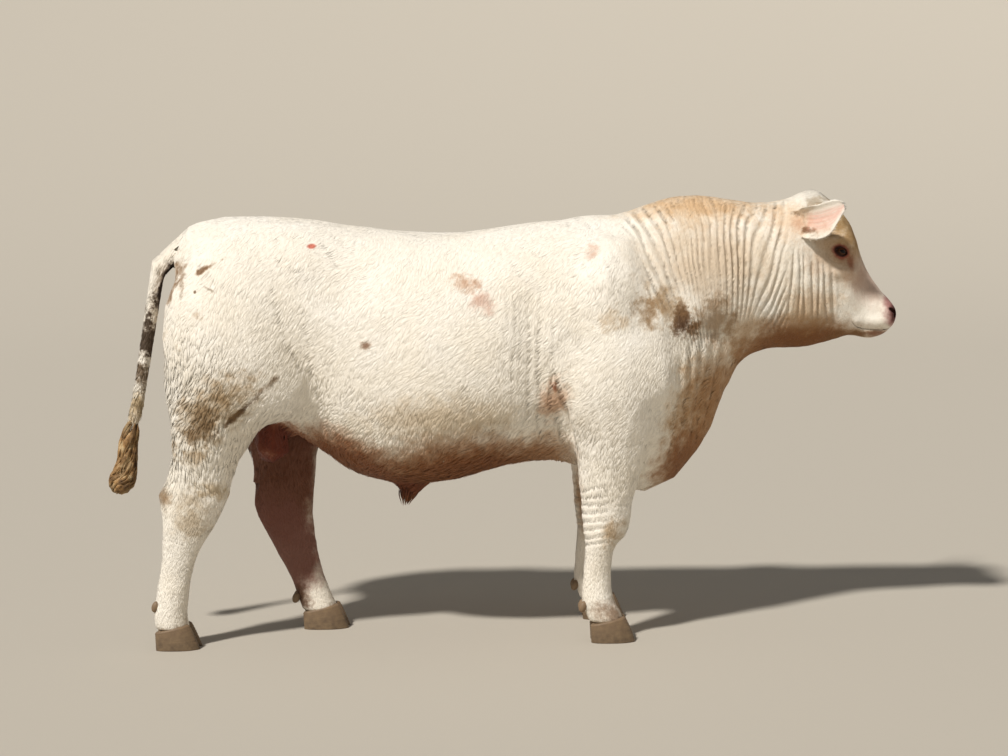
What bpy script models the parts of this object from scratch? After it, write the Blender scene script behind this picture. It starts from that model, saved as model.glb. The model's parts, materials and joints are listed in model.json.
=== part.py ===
# Charolais bull, polled, standing side on: a life-size still model parted into named pieces.
# Metres, +Z up. The animal faces +X, its right side is towards -Y, and z = 0 is the floor.
import math
import random
from collections import namedtuple

import bmesh
import bpy
import numpy as np
from mathutils import Matrix, Vector

# Driving dimensions
GAP = 0.0003
VOXEL = 0.009
BODY_TRIANGLES = 4400
PLAIN_FACTOR = 0.00002
RING_SIDES = 40
RINGS_BETWEEN = 5
LEG_SPREAD_FORE = 0.19
LEG_SPREAD_HIND = 0.20
CORONET_HEIGHT = 0.070
EYE_RADIUS = 0.021
EYE_PLACE = (1.113, 0.109, 1.258)
EYE_TURN = math.radians(22)
EYE_SLANT = math.radians(20)
LID_THICKNESS = 0.0055
LID_OPENING = (0.0215, 0.0120)
EAR_THICKNESS = 0.007
EAR_CUP = 0.032
NOSTRIL_TURN = 0.85
MOUTH_GAP = 0.0035
MOUTH_DEPTH = 0.008
CLAW_SPREAD = 0.029
CLAW_HALF_WIDTH = 0.027
CORONET_SLOPE = 0.22
DEWCLAW_RADII = (0.013, 0.012, 0.019)
SWITCH_LOCKS = 26
SWITCH_CORE = 0.50
SWITCH_TWIST = 3.8
SWITCH_LOCK = (0.30, 0.030, 0.0080)
SHEATH_LOCKS = 11
SHEATH_TIP = (-0.326, 0.431)
SHEATH_LOCK = (0.0180, 0.0050)
LOCK_RINGS = 5
SEED = 9

# Cross-sections from rump to muzzle. top and bottom are (x, z) on the middle plane, widest is the
# height of the widest place as a share from bottom to top, and upper and lower are the powers of
# the superellipse above and below it: 2 is round, more is boxy, less is pointed.
Section = namedtuple("Section", "top bottom half_width widest upper lower")
SPINE = {
    "rump end": Section((-1.060, 1.290), (-1.072, 1.080), 0.050, 0.50, 2.0, 2.0),
    "pin bones": Section((-1.045, 1.366), (-1.060, 0.960), 0.135, 0.62, 2.0, 2.0),
    "tail head": Section((-0.985, 1.398), (-1.000, 0.840), 0.215, 0.55, 2.1, 2.0),
    "hip joints": Section((-0.880, 1.407), (-0.890, 0.780), 0.270, 0.50, 2.2, 2.0),
    "sacrum": Section((-0.750, 1.409), (-0.760, 0.720), 0.285, 0.52, 2.3, 2.0),
    "hooks": Section((-0.630, 1.395), (-0.630, 0.640), 0.285, 0.56, 2.5, 2.0),
    "loin": Section((-0.500, 1.375), (-0.500, 0.552), 0.300, 0.48, 2.4, 2.1),
    "last ribs": Section((-0.350, 1.357), (-0.350, 0.512), 0.330, 0.45, 2.3, 2.2),
    "barrel": Section((-0.180, 1.342), (-0.180, 0.516), 0.345, 0.46, 2.2, 2.2),
    "girth": Section((0.000, 1.362), (0.000, 0.562), 0.335, 0.48, 2.1, 2.1),
    "behind elbow": Section((0.150, 1.377), (0.150, 0.577), 0.310, 0.48, 2.0, 2.0),
    "withers": Section((0.280, 1.391), (0.290, 0.545), 0.300, 0.48, 1.9, 2.0),
    "shoulder": Section((0.400, 1.398), (0.430, 0.468), 0.286, 0.46, 1.9, 2.0),
    "neck base": Section((0.500, 1.428), (0.545, 0.492), 0.262, 0.50, 1.9, 1.7),
    "brisket": Section((0.600, 1.448), (0.640, 0.580), 0.228, 0.54, 1.9, 1.5),
    "dewlap": Section((0.700, 1.445), (0.705, 0.680), 0.198, 0.58, 2.0, 1.35),
    "throat fold": Section((0.790, 1.430), (0.757, 0.815), 0.184, 0.57, 2.1, 1.4),
    "throat": Section((0.870, 1.424), (0.812, 0.900), 0.170, 0.54, 2.1, 1.6),
    "nape": Section((0.950, 1.434), (0.890, 0.934), 0.157, 0.52, 2.1, 1.8),
    "jowl": Section((1.000, 1.455), (0.950, 0.936), 0.146, 0.52, 2.0, 1.8),
    "poll": Section((1.045, 1.464), (1.000, 0.938), 0.134, 0.54, 1.9, 1.8),
    "crown": Section((1.085, 1.440), (1.042, 0.944), 0.130, 0.60, 2.1, 1.7),
    "eyes": Section((1.126, 1.397), (1.074, 0.952), 0.127, 0.66, 2.5, 1.6),
    "cheeks": Section((1.158, 1.352), (1.096, 0.958), 0.123, 0.68, 2.6, 1.6),
    "tear bones": Section((1.180, 1.305), (1.114, 0.963), 0.112, 0.62, 2.4, 1.7),
    "nose root": Section((1.195, 1.260), (1.131, 0.969), 0.099, 0.55, 2.1, 1.8),
    "nose bridge": Section((1.211, 1.217), (1.149, 0.974), 0.088, 0.50, 1.9, 2.0),
    "mouth corner": Section((1.231, 1.178), (1.166, 0.977), 0.080, 0.46, 1.9, 2.1),
    "upper lip": Section((1.254, 1.143), (1.186, 0.974), 0.076, 0.48, 2.0, 2.2),
    "chin": Section((1.277, 1.114), (1.210, 0.967), 0.076, 0.52, 2.2, 2.2),
    "nostrils": Section((1.296, 1.092), (1.238, 0.968), 0.078, 0.56, 2.4, 2.2),
    "muzzle pad": Section((1.311, 1.067), (1.266, 0.977), 0.073, 0.56, 2.4, 2.2),
    "muzzle end": Section((1.317, 1.046), (1.290, 0.993), 0.056, 0.54, 2.2, 2.2),
}

# Level cross-sections of a leg, from the top down. rear and front are the x of its hind and fore
# edges, spread is how far its middle stands from the middle plane.
Level = namedtuple("Level", "height rear front spread half_width")
FORELEG = {
    "blade top": Level(1.240, 0.270, 0.400, 0.110, 0.040),
    "blade": Level(1.120, 0.200, 0.470, 0.180, 0.082),
    "shoulder joint": Level(0.960, 0.155, 0.510, 0.214, 0.104),
    "upper arm": Level(0.840, 0.150, 0.515, 0.220, 0.108),
    "elbow": Level(0.750, 0.190, 0.500, 0.216, 0.101),
    "arm top": Level(0.680, 0.222, 0.489, 0.207, 0.090),
    "forearm": Level(0.600, 0.238, 0.464, 0.200, 0.076),
    "forearm middle": Level(0.520, 0.245, 0.440, 0.195, 0.064),
    "forearm end": Level(0.450, 0.251, 0.422, LEG_SPREAD_FORE, 0.057),
    "knee top": Level(0.400, 0.253, 0.414, LEG_SPREAD_FORE, 0.057),
    "knee": Level(0.350, 0.259, 0.396, LEG_SPREAD_FORE, 0.056),
    "knee end": Level(0.305, 0.263, 0.362, LEG_SPREAD_FORE, 0.048),
    "cannon": Level(0.250, 0.258, 0.351, LEG_SPREAD_FORE, 0.042),
    "cannon end": Level(0.190, 0.253, 0.350, LEG_SPREAD_FORE, 0.041),
    "fetlock": Level(0.140, 0.249, 0.356, LEG_SPREAD_FORE, 0.051),
    "pastern": Level(0.100, 0.259, 0.376, LEG_SPREAD_FORE, 0.055),
    "coronet": Level(0.062, 0.272, 0.392, LEG_SPREAD_FORE, 0.056),
}
HINDLEG_RIGHT = {
    "rump": Level(1.300, -1.000, -0.740, 0.130, 0.090),
    "hip": Level(1.160, -1.080, -0.670, 0.172, 0.138),
    "thigh": Level(1.020, -1.099, -0.630, 0.190, 0.150),
    "lower thigh": Level(0.910, -1.094, -0.625, 0.198, 0.142),
    "stifle": Level(0.810, -1.084, -0.670, 0.205, 0.120),
    "gaskin top": Level(0.720, -1.078, -0.775, 0.205, 0.096),
    "gaskin": Level(0.635, -1.077, -0.845, LEG_SPREAD_HIND, 0.074),
    "gaskin end": Level(0.565, -1.096, -0.872, LEG_SPREAD_HIND, 0.059),
    "hock": Level(0.495, -1.120, -0.892, LEG_SPREAD_HIND, 0.053),
    "hock end": Level(0.430, -1.114, -0.925, LEG_SPREAD_HIND, 0.050),
    "cannon top": Level(0.370, -1.117, -0.962, LEG_SPREAD_HIND, 0.044),
    "cannon": Level(0.305, -1.119, -1.000, LEG_SPREAD_HIND, 0.039),
    "cannon end": Level(0.235, -1.131, -1.022, LEG_SPREAD_HIND, 0.038),
    "fetlock": Level(0.165, -1.144, -1.034, LEG_SPREAD_HIND, 0.046),
    "pastern": Level(0.110, -1.151, -1.040, LEG_SPREAD_HIND, 0.052),
    "coronet": Level(0.062, -1.148, -1.030, LEG_SPREAD_HIND, 0.054),
}
# The left hind leg is drawn up, a short step ahead and closer to the middle.
HINDLEG_LEFT = {
    "rump": Level(1.300, -1.000, -0.740, 0.130, 0.090),
    "hip": Level(1.160, -1.076, -0.660, 0.172, 0.138),
    "thigh": Level(1.020, -1.085, -0.600, 0.190, 0.150),
    "lower thigh": Level(0.910, -1.062, -0.570, 0.196, 0.142),
    "stifle": Level(0.810, -1.020, -0.565, 0.192, 0.122),
    "gaskin top": Level(0.720, -0.955, -0.592, 0.180, 0.098),
    "gaskin": Level(0.635, -0.888, -0.624, 0.160, 0.076),
    "gaskin end": Level(0.560, -0.858, -0.637, 0.146, 0.060),
    "hock": Level(0.470, -0.862, -0.648, 0.130, 0.053),
    "hock end": Level(0.400, -0.850, -0.650, 0.120, 0.050),
    "cannon top": Level(0.330, -0.816, -0.646, 0.112, 0.044),
    "cannon": Level(0.260, -0.780, -0.636, 0.106, 0.039),
    "cannon end": Level(0.190, -0.742, -0.620, 0.102, 0.039),
    "fetlock": Level(0.130, -0.718, -0.600, 0.100, 0.047),
    "pastern": Level(0.095, -0.706, -0.585, 0.100, 0.052),
    "coronet": Level(0.058, -0.695, -0.567, 0.100, 0.054),
}

# Rounded masses that stand out of the lofts: centre, radii, and lean about Y. One off the middle
# plane stands on both sides.
Mass = namedtuple("Mass", "centre radii lean")
MASSES = {
    "rump muscle": Mass((-0.850, 0.170, 1.150), (0.200, 0.125, 0.190), 0.3),
    "thigh muscle": Mass((-0.920, 0.210, 0.950), (0.165, 0.120, 0.210), -0.1),
    "stifle": Mass((-0.720, 0.205, 0.860), (0.115, 0.095, 0.130), 0.4),
    "shoulder blade": Mass((0.325, 0.160, 1.060), (0.165, 0.140, 0.270), 0.25),
    "point of shoulder": Mass((0.465, 0.180, 0.890), (0.120, 0.115, 0.165), 0.0),
    "upper arm": Mass((0.300, 0.205, 0.850), (0.175, 0.118, 0.175), 0.4),
    "brow": Mass((1.106, 0.084, 1.298), (0.062, 0.042, 0.045), 0.6),
    "sheath root": Mass((-0.310, 0.000, 0.560), (0.150, 0.070, 0.055), 0.0),
}

# Fine forms pressed in or raised along the surface: centre, reach, and depth, on both sides.
Press = namedtuple("Press", "centre reach amount")
PRESSES = {
    "hook bone": Press((-0.630, 0.260, 1.285), (0.070, 0.090, 0.050), 0.016),
    "pin bone": Press((-1.070, 0.110, 1.262), (0.050, 0.050, 0.040), 0.012),
    "flank hollow": Press((-0.500, 0.290, 1.190), (0.100, 0.120, 0.090), -0.018),
    "behind shoulder": Press((0.100, 0.320, 0.980), (0.055, 0.120, 0.220), -0.012),
    "blade ridge": Press((0.335, 0.250, 1.160), (0.030, 0.080, 0.120), 0.007),
    "elbow pit": Press((0.160, 0.300, 0.690), (0.050, 0.120, 0.090), -0.020),
    "flank fold": Press((-0.600, 0.290, 0.790), (0.050, 0.130, 0.100), -0.022),
    "thigh groove": Press((-0.830, 0.330, 0.760), (0.050, 0.100, 0.070), -0.010),
    "neck groove": Press((0.740, 0.180, 1.000), (0.120, 0.080, 0.045), -0.014),
    "shoulder front": Press((0.570, 0.240, 1.080), (0.045, 0.090, 0.200), -0.014),
    "crest": Press((0.650, 0.000, 1.440), (0.200, 0.060, 0.040), 0.006),
    "eye hollow": Press((1.085, 0.130, 1.325), (0.035, 0.050, 0.030), -0.008),
    "tear groove": Press((1.150, 0.105, 1.230), (0.028, 0.050, 0.024), -0.006),
    "jaw muscle": Press((1.030, 0.140, 1.110), (0.070, 0.060, 0.100), 0.006),
    "cheek bone": Press((1.110, 0.118, 1.185), (0.055, 0.050, 0.016), 0.005),
    "nose side": Press((1.200, 0.085, 1.110), (0.035, 0.050, 0.045), -0.006),
    "nostril wing": Press((1.288, 0.060, 1.062), (0.020, 0.030, 0.022), 0.006),
    "lip pad": Press((1.250, 0.070, 1.022), (0.035, 0.040, 0.016), 0.005),
    "under lip": Press((1.235, 0.070, 0.998), (0.060, 0.050, 0.008), -0.004),
    "spine furrow": Press((-0.250, 0.000, 1.360), (0.330, 0.035, 0.050), -0.003),
    "knee": Press((0.410, 0.190, 0.360), (0.030, 0.060, 0.035), 0.004),
    "hock point": Press((-1.120, 0.200, 0.510), (0.025, 0.040, 0.030), 0.004),
}

# The two pits of the left nostril: centre, radii with the depth first, and lean.
NOSTRIL = {
    "nostril": ((1.298, 0.048, 1.045), (0.024, 0.0100, 0.0150), 0.0),
    "nostril_curl": ((1.296, 0.057, 1.056), (0.016, 0.0130, 0.0060), -0.5),
}

# The line of the mouth from its corner to the front, as x and z.
MOUTH_LINE = [
    (1.158, 1.026),
    (1.175, 1.010),
    (1.205, 1.001),
    (1.240, 0.998),
    (1.275, 0.998),
    (1.330, 1.004),
]

# The edges of the left ear's blade from root to tip, and the way its hollow faces.
EAR_UPPER = [
    (0.946, 0.088, 1.388),
    (0.985, 0.132, 1.402),
    (1.030, 0.180, 1.412),
    (1.074, 0.222, 1.426),
    (1.102, 0.246, 1.428),
]
EAR_LOWER = [
    (0.952, 0.090, 1.322),
    (0.984, 0.134, 1.308),
    (1.022, 0.178, 1.300),
    (1.062, 0.218, 1.318),
    (1.100, 0.247, 1.404),
]
EAR_FACES = (-0.64, 0.76, -0.10)

# The middle line of the tail as x and z with its radius. It starts inside the rump and goes on
# as the switch.
TAIL_LINE = [
    (-0.985, 1.335, 0.046),
    (-1.045, 1.322, 0.043),
    (-1.098, 1.285, 0.036),
    (-1.133, 1.225, 0.029),
    (-1.155, 1.150, 0.025),
    (-1.170, 1.060, 0.023),
    (-1.185, 0.970, 0.021),
    (-1.200, 0.890, 0.020),
    (-1.217, 0.810, 0.019),
    (-1.234, 0.745, 0.020),
]
TAIL_SIDES = 12
TAIL_CUTS = (4, 7)
SWITCH_LINE = [
    (-1.244, 0.705, 0.027),
    (-1.256, 0.650, 0.031),
    (-1.259, 0.600, 0.033),
    (-1.270, 0.555, 0.041),
    (-1.282, 0.525, 0.044),
    (-1.288, 0.500, 0.032),
    (-1.290, 0.484, 0.012),
]

# Pear-shaped hanging pieces from the top down: height, x, half length and half width.
SHEATH = [
    (0.575, -0.290, 0.050, 0.034),
    (0.535, -0.296, 0.062, 0.036),
    (0.500, -0.303, 0.052, 0.031),
    (0.475, -0.312, 0.034, 0.022),
    (0.459, -0.318, 0.016, 0.012),
]
SCROTUM = [
    (0.790, -0.770, 0.034, 0.036),
    (0.740, -0.772, 0.040, 0.044),
    (0.690, -0.774, 0.052, 0.060),
    (0.640, -0.774, 0.056, 0.064),
    (0.610, -0.774, 0.046, 0.054),
    (0.592, -0.774, 0.026, 0.032),
]

# The planes that part the body, each through two points on the middle plane as x and z.
HEAD_CUT = ((0.922, 1.470), (0.885, 0.900))
NECK_CUT = ((0.470, 1.450), (0.770, 0.780))
CHEST_CUT = ((0.110, 1.400), (0.110, 0.500))
LOIN_CUT = ((-0.545, 1.400), (-0.545, 0.500))
ELBOW_HEIGHT = 0.610
KNEE_HEIGHT = 0.415
THIGH_HEIGHTS = (0.700, 0.645)
HOCK_HEIGHT = 0.545
FAR = 3.0

COAT = ("coat_cream", (0.86, 0.80, 0.70), 0.85)
HORN = ("hoof_horn", (0.42, 0.36, 0.29), 0.45)
EYE = ("eye_dark", (0.05, 0.03, 0.02), 0.10)
TAIL_HAIR = ("tail_hair", (0.62, 0.50, 0.36), 0.80)
EAR_SKIN = ("ear_coat", (0.86, 0.70, 0.60), 0.80)


def clear_scene():
    for obj in list(bpy.data.objects):
        bpy.data.objects.remove(obj)


def collection(name):
    made = bpy.data.collections.new(name)
    bpy.context.scene.collection.children.link(made)
    return made


def material(spec):
    """The plain material of that name, made once."""
    name, colour, roughness = spec
    found = bpy.data.materials.get(name)
    if found:
        return found
    made = bpy.data.materials.new(name)
    made.use_nodes = True
    shader = made.node_tree.nodes["Principled BSDF"]
    shader.inputs["Base Color"].default_value = (*colour, 1.0)
    shader.inputs["Roughness"].default_value = roughness
    return made


def object_from(name, vertices, faces, home):
    mesh = bpy.data.meshes.new(name)
    mesh.from_pydata([tuple(v) for v in vertices], [], faces)
    bm = bmesh.new()
    bm.from_mesh(mesh)
    bmesh.ops.triangulate(bm, faces=bm.faces)
    bmesh.ops.recalc_face_normals(bm, faces=bm.faces)
    bm.to_mesh(mesh)
    bm.free()
    obj = bpy.data.objects.new(name, mesh)
    home.objects.link(obj)
    return obj


def evaluated_mesh(obj):
    depsgraph = bpy.context.evaluated_depsgraph_get()
    return bpy.data.meshes.new_from_object(obj.evaluated_get(depsgraph))


def apply_modifiers(obj):
    """Turns the object's modifiers into its mesh."""
    mesh = evaluated_mesh(obj)
    obj.modifiers.clear()
    old, obj.data = obj.data, mesh
    bpy.data.meshes.remove(old)


def between(rows, steps):
    """Rows of numbers with steps - 1 rows added between each pair, on a Catmull-Rom curve."""
    rows = np.array(rows, float)
    padded = np.vstack([2 * rows[0] - rows[1], rows, 2 * rows[-1] - rows[-2]])
    made = []
    for i in range(len(rows) - 1):
        a, b, c, d = padded[i : i + 4]
        for k in range(steps):
            t = k / steps
            bend = 2 * a - 5 * b + 4 * c - d
            swing = 3 * b - a - 3 * c + d
            made.append(0.5 * (2 * b + (c - a) * t + bend * t**2 + swing * t**3))
    made.append(rows[-1])
    return made


def signed_power(value, power):
    return math.copysign(abs(value) ** power, value)


def loft(name, rings, home):
    """A closed skin over rings of equal counts, with a flat end at each side."""
    count = len(rings[0])
    vertices = [p for ring in rings for p in ring]
    faces = []
    for low in range(0, (len(rings) - 1) * count, count):
        for k in range(count):
            after = (k + 1) % count
            faces.append((low + k, low + after, low + count + after, low + count + k))
    faces.append(tuple(range(count)))
    faces.append(tuple(range((len(rings) - 1) * count, len(rings) * count)))
    return object_from(name, vertices, faces, home)


def section_ring(row):
    """The ring of one Section, given as its eight numbers."""
    top_x, top_z, bottom_x, bottom_z, half_width, widest, upper, lower = row
    top, bottom = Vector((top_x, 0, top_z)), Vector((bottom_x, 0, bottom_z))
    middle = bottom.lerp(top, widest)
    ring = []
    for k in range(RING_SIDES):
        turn = math.tau * k / RING_SIDES
        above = math.cos(turn) >= 0
        power = 2 / (upper if above else lower)
        arm = (top - middle) if above else (middle - bottom)
        point = middle + arm * signed_power(math.cos(turn), power)
        point.y = half_width * signed_power(math.sin(turn), power)
        ring.append(point)
    return ring


def spine_body(home):
    rows = [(*s.top, *s.bottom, s.half_width, s.widest, s.upper, s.lower) for s in SPINE.values()]
    return loft("trunk", [section_ring(r) for r in between(rows, RINGS_BETWEEN)], home)


def level_ring(row, side):
    height, rear, front, spread, half_width = row
    middle, half_depth = (rear + front) / 2, (front - rear) / 2
    return [
        Vector(
            (
                middle + half_depth * math.cos(math.tau * k / RING_SIDES),
                side * spread + half_width * math.sin(math.tau * k / RING_SIDES),
                height,
            )
        )
        for k in range(RING_SIDES)
    ]


def leg_body(name, levels, side, home, back=0.0):
    """A leg's loft. side is 1 for the left and -1 for the right, and back moves it rearwards."""
    rows = [(v.height, v.rear - back, v.front - back, v.spread, v.half_width) for v in levels.values()]
    return loft(name, [level_ring(r, side) for r in between(rows, RINGS_BETWEEN)], home)


def mass_bodies(home):
    made = []
    for name, mass in MASSES.items():
        for side in (1, -1) if mass.centre[1] else (1,):
            mesh = bpy.data.meshes.new(name)
            bm = bmesh.new()
            bmesh.ops.create_uvsphere(bm, u_segments=32, v_segments=20, radius=1)
            x, y, z = mass.centre
            place = Matrix.Translation((x, side * y, z)) @ Matrix.Rotation(mass.lean, 4, "Y")
            bmesh.ops.transform(bm, matrix=place @ Matrix.Diagonal((*mass.radii, 1)), verts=bm.verts)
            bm.to_mesh(mesh)
            bm.free()
            obj = bpy.data.objects.new(name, mesh)
            home.objects.link(obj)
            made.append(obj)
    return made


def tube_rings(line, sides, squash=1.0):
    """Rings square to a line of (x, z, radius) on the middle plane. squash narrows them along Y."""
    rings = []
    for i, (x, z, radius) in enumerate(line):
        before, after = line[max(i - 1, 0)], line[min(i + 1, len(line) - 1)]
        ahead = Vector((after[0] - before[0], 0, after[1] - before[1])).normalized()
        across = Vector((0, 1, 0))
        other = ahead.cross(across)
        rings.append(
            [
                Vector((x, 0, z))
                + across * (squash * radius * math.cos(math.tau * k / sides))
                + other * (radius * math.sin(math.tau * k / sides))
                for k in range(sides)
            ]
        )
    return rings


def smooth_field(points, swells):
    """How far each point moves along its normal under every Press, on both sides."""
    moved = np.zeros(len(points))
    for press in swells.values():
        sides = (1, -1) if press.centre[1] else (1,)
        for side in sides:
            centre = np.array((press.centre[0], side * press.centre[1], press.centre[2]))
            away = (points - centre) / np.array(press.reach)
            moved += press.amount * np.exp(-(away**2).sum(1))
    return moved


def press_surface(obj):
    mesh = obj.data
    points = np.empty(len(mesh.vertices) * 3)
    mesh.vertices.foreach_get("co", points)
    points = points.reshape(-1, 3)
    normals = np.empty(len(mesh.vertices) * 3)
    mesh.vertices.foreach_get("normal", normals)
    points += normals.reshape(-1, 3) * smooth_field(points, PRESSES)[:, None]
    mesh.vertices.foreach_set("co", points.ravel())
    mesh.update()


def join(objects, name):
    """One object that holds the meshes of several."""
    bm = bmesh.new()
    for obj in objects:
        bm.from_mesh(obj.data)
    mesh = bpy.data.meshes.new(name)
    bm.to_mesh(mesh)
    bm.free()
    home = objects[0].users_collection[0]
    for obj in objects:
        bpy.data.objects.remove(obj)
    made = bpy.data.objects.new(name, mesh)
    home.objects.link(made)
    return made


def whole_body(home):
    """Trunk, head, legs and muscles fused into one smooth closed body."""
    pieces = [spine_body(home)]
    pieces.append(leg_body("foreleg", FORELEG, -1, home))
    pieces.append(leg_body("foreleg", FORELEG, 1, home, back=0.012))
    pieces.append(leg_body("hindleg", HINDLEG_RIGHT, -1, home))
    pieces.append(leg_body("hindleg", HINDLEG_LEFT, 1, home))
    pieces += mass_bodies(home)
    body = join(pieces, "body")
    remesh = body.modifiers.new("fuse", "REMESH")
    remesh.mode = "VOXEL"
    remesh.voxel_size = VOXEL
    apply_modifiers(body)
    soften(body)
    press_surface(body)
    lighten(body)
    return body


def lighten(body):
    """Brings the body down to its budget of triangles, first evenly and then on the trunk most."""
    first = body.modifiers.new("first", "DECIMATE")
    first.ratio = 2.2 * BODY_TRIANGLES / (2 * len(body.data.polygons))
    first.use_collapse_triangulate = True
    apply_modifiers(body)
    group = body.vertex_groups.new(name="plain")
    for vertex in body.data.vertices:
        fine = vertex.co.x > 0.95 or vertex.co.z < 0.16
        muzzle = vertex.co.x > 1.20
        group.add([vertex.index], 0.08 if muzzle else 0.25 if fine else 1.0, "REPLACE")
    second = body.modifiers.new("second", "DECIMATE")
    second.ratio = BODY_TRIANGLES / len(body.data.polygons)
    second.vertex_group = "plain"
    second.vertex_group_factor = PLAIN_FACTOR
    second.use_collapse_triangulate = True
    apply_modifiers(body)
    body.vertex_groups.clear()


def soften(body):
    """Smooths the body, most on the trunk and least on the head and the lower legs."""
    group = body.vertex_groups.new(name="trunk")
    for vertex in body.data.vertices:
        x, _, z = vertex.co
        trunk = min(max((z - 0.52) / 0.16, 0), 1) * min(max((1.00 - x) / 0.15, 0), 1)
        group.add([vertex.index], 0.14 + 0.86 * trunk, "REPLACE")
    smooth = body.modifiers.new("soften", "SMOOTH")
    smooth.factor = 0.5
    smooth.iterations = 80
    smooth.vertex_group = "trunk"
    apply_modifiers(body)
    body.vertex_groups.clear()


def largest(obj):
    """Keeps the object's largest closed surface."""
    bm = bmesh.new()
    bm.from_mesh(obj.data)
    left = set(bm.verts)
    islands = []
    while left:
        island, border = set(), [left.pop()]
        while border:
            vertex = border.pop()
            island.add(vertex)
            for edge in vertex.link_edges:
                other = edge.other_vert(vertex)
                if other in left:
                    left.discard(other)
                    border.append(other)
        islands.append(island)
    islands.sort(key=lambda island: (-len(island), min(v.index for v in island)))
    for island in islands[1:]:
        bmesh.ops.delete(bm, geom=list(island), context="VERTS")
    bm.to_mesh(obj.data)
    bm.free()


def combine(obj, tool, operation):
    """A Boolean with an object of the cutters' collection, turned into the mesh."""
    step = obj.modifiers.new(tool.name, "BOOLEAN")
    step.operation = operation
    step.object = tool
    step.solver = "EXACT"
    apply_modifiers(obj)


def copy_of(obj, name, home, grow=0.0):
    """A copy of the object's mesh, grown along its normals."""
    mesh = obj.data.copy()
    mesh.name = name
    for vertex, normal in zip(mesh.vertices, [v.normal.copy() for v in mesh.vertices]):
        vertex.co += normal * grow
    made = bpy.data.objects.new(name, mesh)
    home.objects.link(made)
    return made


def box(name, low, high, home):
    sides = list(zip(low, high))
    corners = [Vector((x, y, z)) for x in sides[0] for y in sides[1] for z in sides[2]]
    faces = [(0, 1, 3, 2), (4, 6, 7, 5), (0, 4, 5, 1), (2, 3, 7, 6), (0, 2, 6, 4), (1, 5, 7, 3)]
    return object_from(name, corners, faces, home)


def half_space(name, plane, shift, home):
    """A large box ahead of a plane through two points of the middle plane, moved back by shift."""
    (x1, z1), (x2, z2) = plane
    along = Vector((x1 - x2, 0, z1 - z2)).normalized()
    ahead = Vector((along.z, 0, -along.x))
    middle = Vector(((x1 + x2) / 2, 0, (z1 + z2) / 2)) - ahead * shift
    side = Vector((0, FAR, 0))
    corners = []
    for reach in (Vector(), ahead * FAR):
        for across in (-side, side):
            for up in (-along * FAR, along * FAR):
                corners.append(middle + reach + across + up)
    faces = [(0, 1, 3, 2), (4, 6, 7, 5), (0, 4, 5, 1), (2, 3, 7, 6), (0, 2, 6, 4), (1, 5, 7, 3)]
    return object_from(name, corners, faces, home)


def part_off(rest, name, region, wider):
    """Takes the part of rest inside region as a new object, and cuts the wider region from rest."""
    piece = copy_of(rest, name, PARTS)
    combine(piece, region, "INTERSECT")
    combine(rest, wider, "DIFFERENCE")
    largest(piece)
    largest(rest)
    return piece


def part_plane(rest, name, plane):
    region = half_space(name + "_region", plane, 0.0, CUTTERS)
    wider = half_space(name + "_clearance", plane, GAP, CUTTERS)
    return part_off(rest, name, region, wider)


def part_box(rest, name, low, high):
    region = box(name + "_region", low, high, CUTTERS)
    wider = box(name + "_clearance", [v - GAP for v in low], [v + GAP for v in high], CUTTERS)
    return part_off(rest, name, region, wider)


def ellipsoid(name, centre, radii, turn, home, segments=14, rings=9):
    mesh = bpy.data.meshes.new(name)
    bm = bmesh.new()
    bmesh.ops.create_uvsphere(bm, u_segments=segments, v_segments=rings, radius=1)
    place = Matrix.Translation(centre) @ turn @ Matrix.Diagonal((*radii, 1))
    bmesh.ops.transform(bm, matrix=place, verts=bm.verts)
    bm.to_mesh(mesh)
    bm.free()
    made = bpy.data.objects.new(name, mesh)
    home.objects.link(made)
    return made


def finish_node(obj, spec):
    """Gives the object its material and triangles, facing outwards."""
    obj.data.materials.clear()
    obj.data.materials.append(material(spec))
    bm = bmesh.new()
    bm.from_mesh(obj.data)
    bmesh.ops.remove_doubles(bm, verts=bm.verts, dist=0.00002)
    bmesh.ops.dissolve_degenerate(bm, dist=0.00002, edges=bm.edges)
    bmesh.ops.triangulate(bm, faces=bm.faces)
    bmesh.ops.recalc_face_normals(bm, faces=bm.faces)
    for face in bm.faces:
        face.material_index = 0
        face.smooth = False
    bm.to_mesh(obj.data)
    bm.free()


def eye_frame(side):
    """The eye's placing matrix: local Z looks out of the socket and local X runs along the slit."""
    out = Vector((math.sin(EYE_TURN), side * math.cos(EYE_TURN), 0.05)).normalized()
    along = Vector((math.cos(EYE_TURN), -side * math.sin(EYE_TURN), 0))
    along = (along * math.cos(EYE_SLANT) - Vector((0, 0, 1)) * math.sin(EYE_SLANT)).normalized()
    up = out.cross(along).normalized() * side
    along = (along - out * along.dot(out)).normalized()
    up = out.cross(along)
    return Matrix((along, up, out)).transposed().to_4x4()


def eye(head, side, suffix):
    """Lids raised round a slit, and the ball behind it as a node of its own."""
    centre = Vector((EYE_PLACE[0], side * EYE_PLACE[1], EYE_PLACE[2]))
    turn = eye_frame(side)
    lid = EYE_RADIUS + LID_THICKNESS
    lids = ellipsoid("lids_" + suffix, centre, (lid, lid * 0.88, lid), turn, CUTTERS, 18, 12)
    combine(head, lids, "UNION")
    ahead = centre + turn.to_3x3() @ Vector((0, 0, 0.022))
    slit = (*LID_OPENING, 0.022)
    combine(head, ellipsoid("slit_" + suffix, ahead, slit, turn, CUTTERS, 18, 10), "DIFFERENCE")
    ball = ellipsoid("eye_" + suffix, centre, (EYE_RADIUS,) * 3, turn, PARTS, 14, 8)
    combine(head, copy_of(ball, "socket_" + suffix, CUTTERS, GAP), "DIFFERENCE")
    finish_node(ball, EYE)


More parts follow.
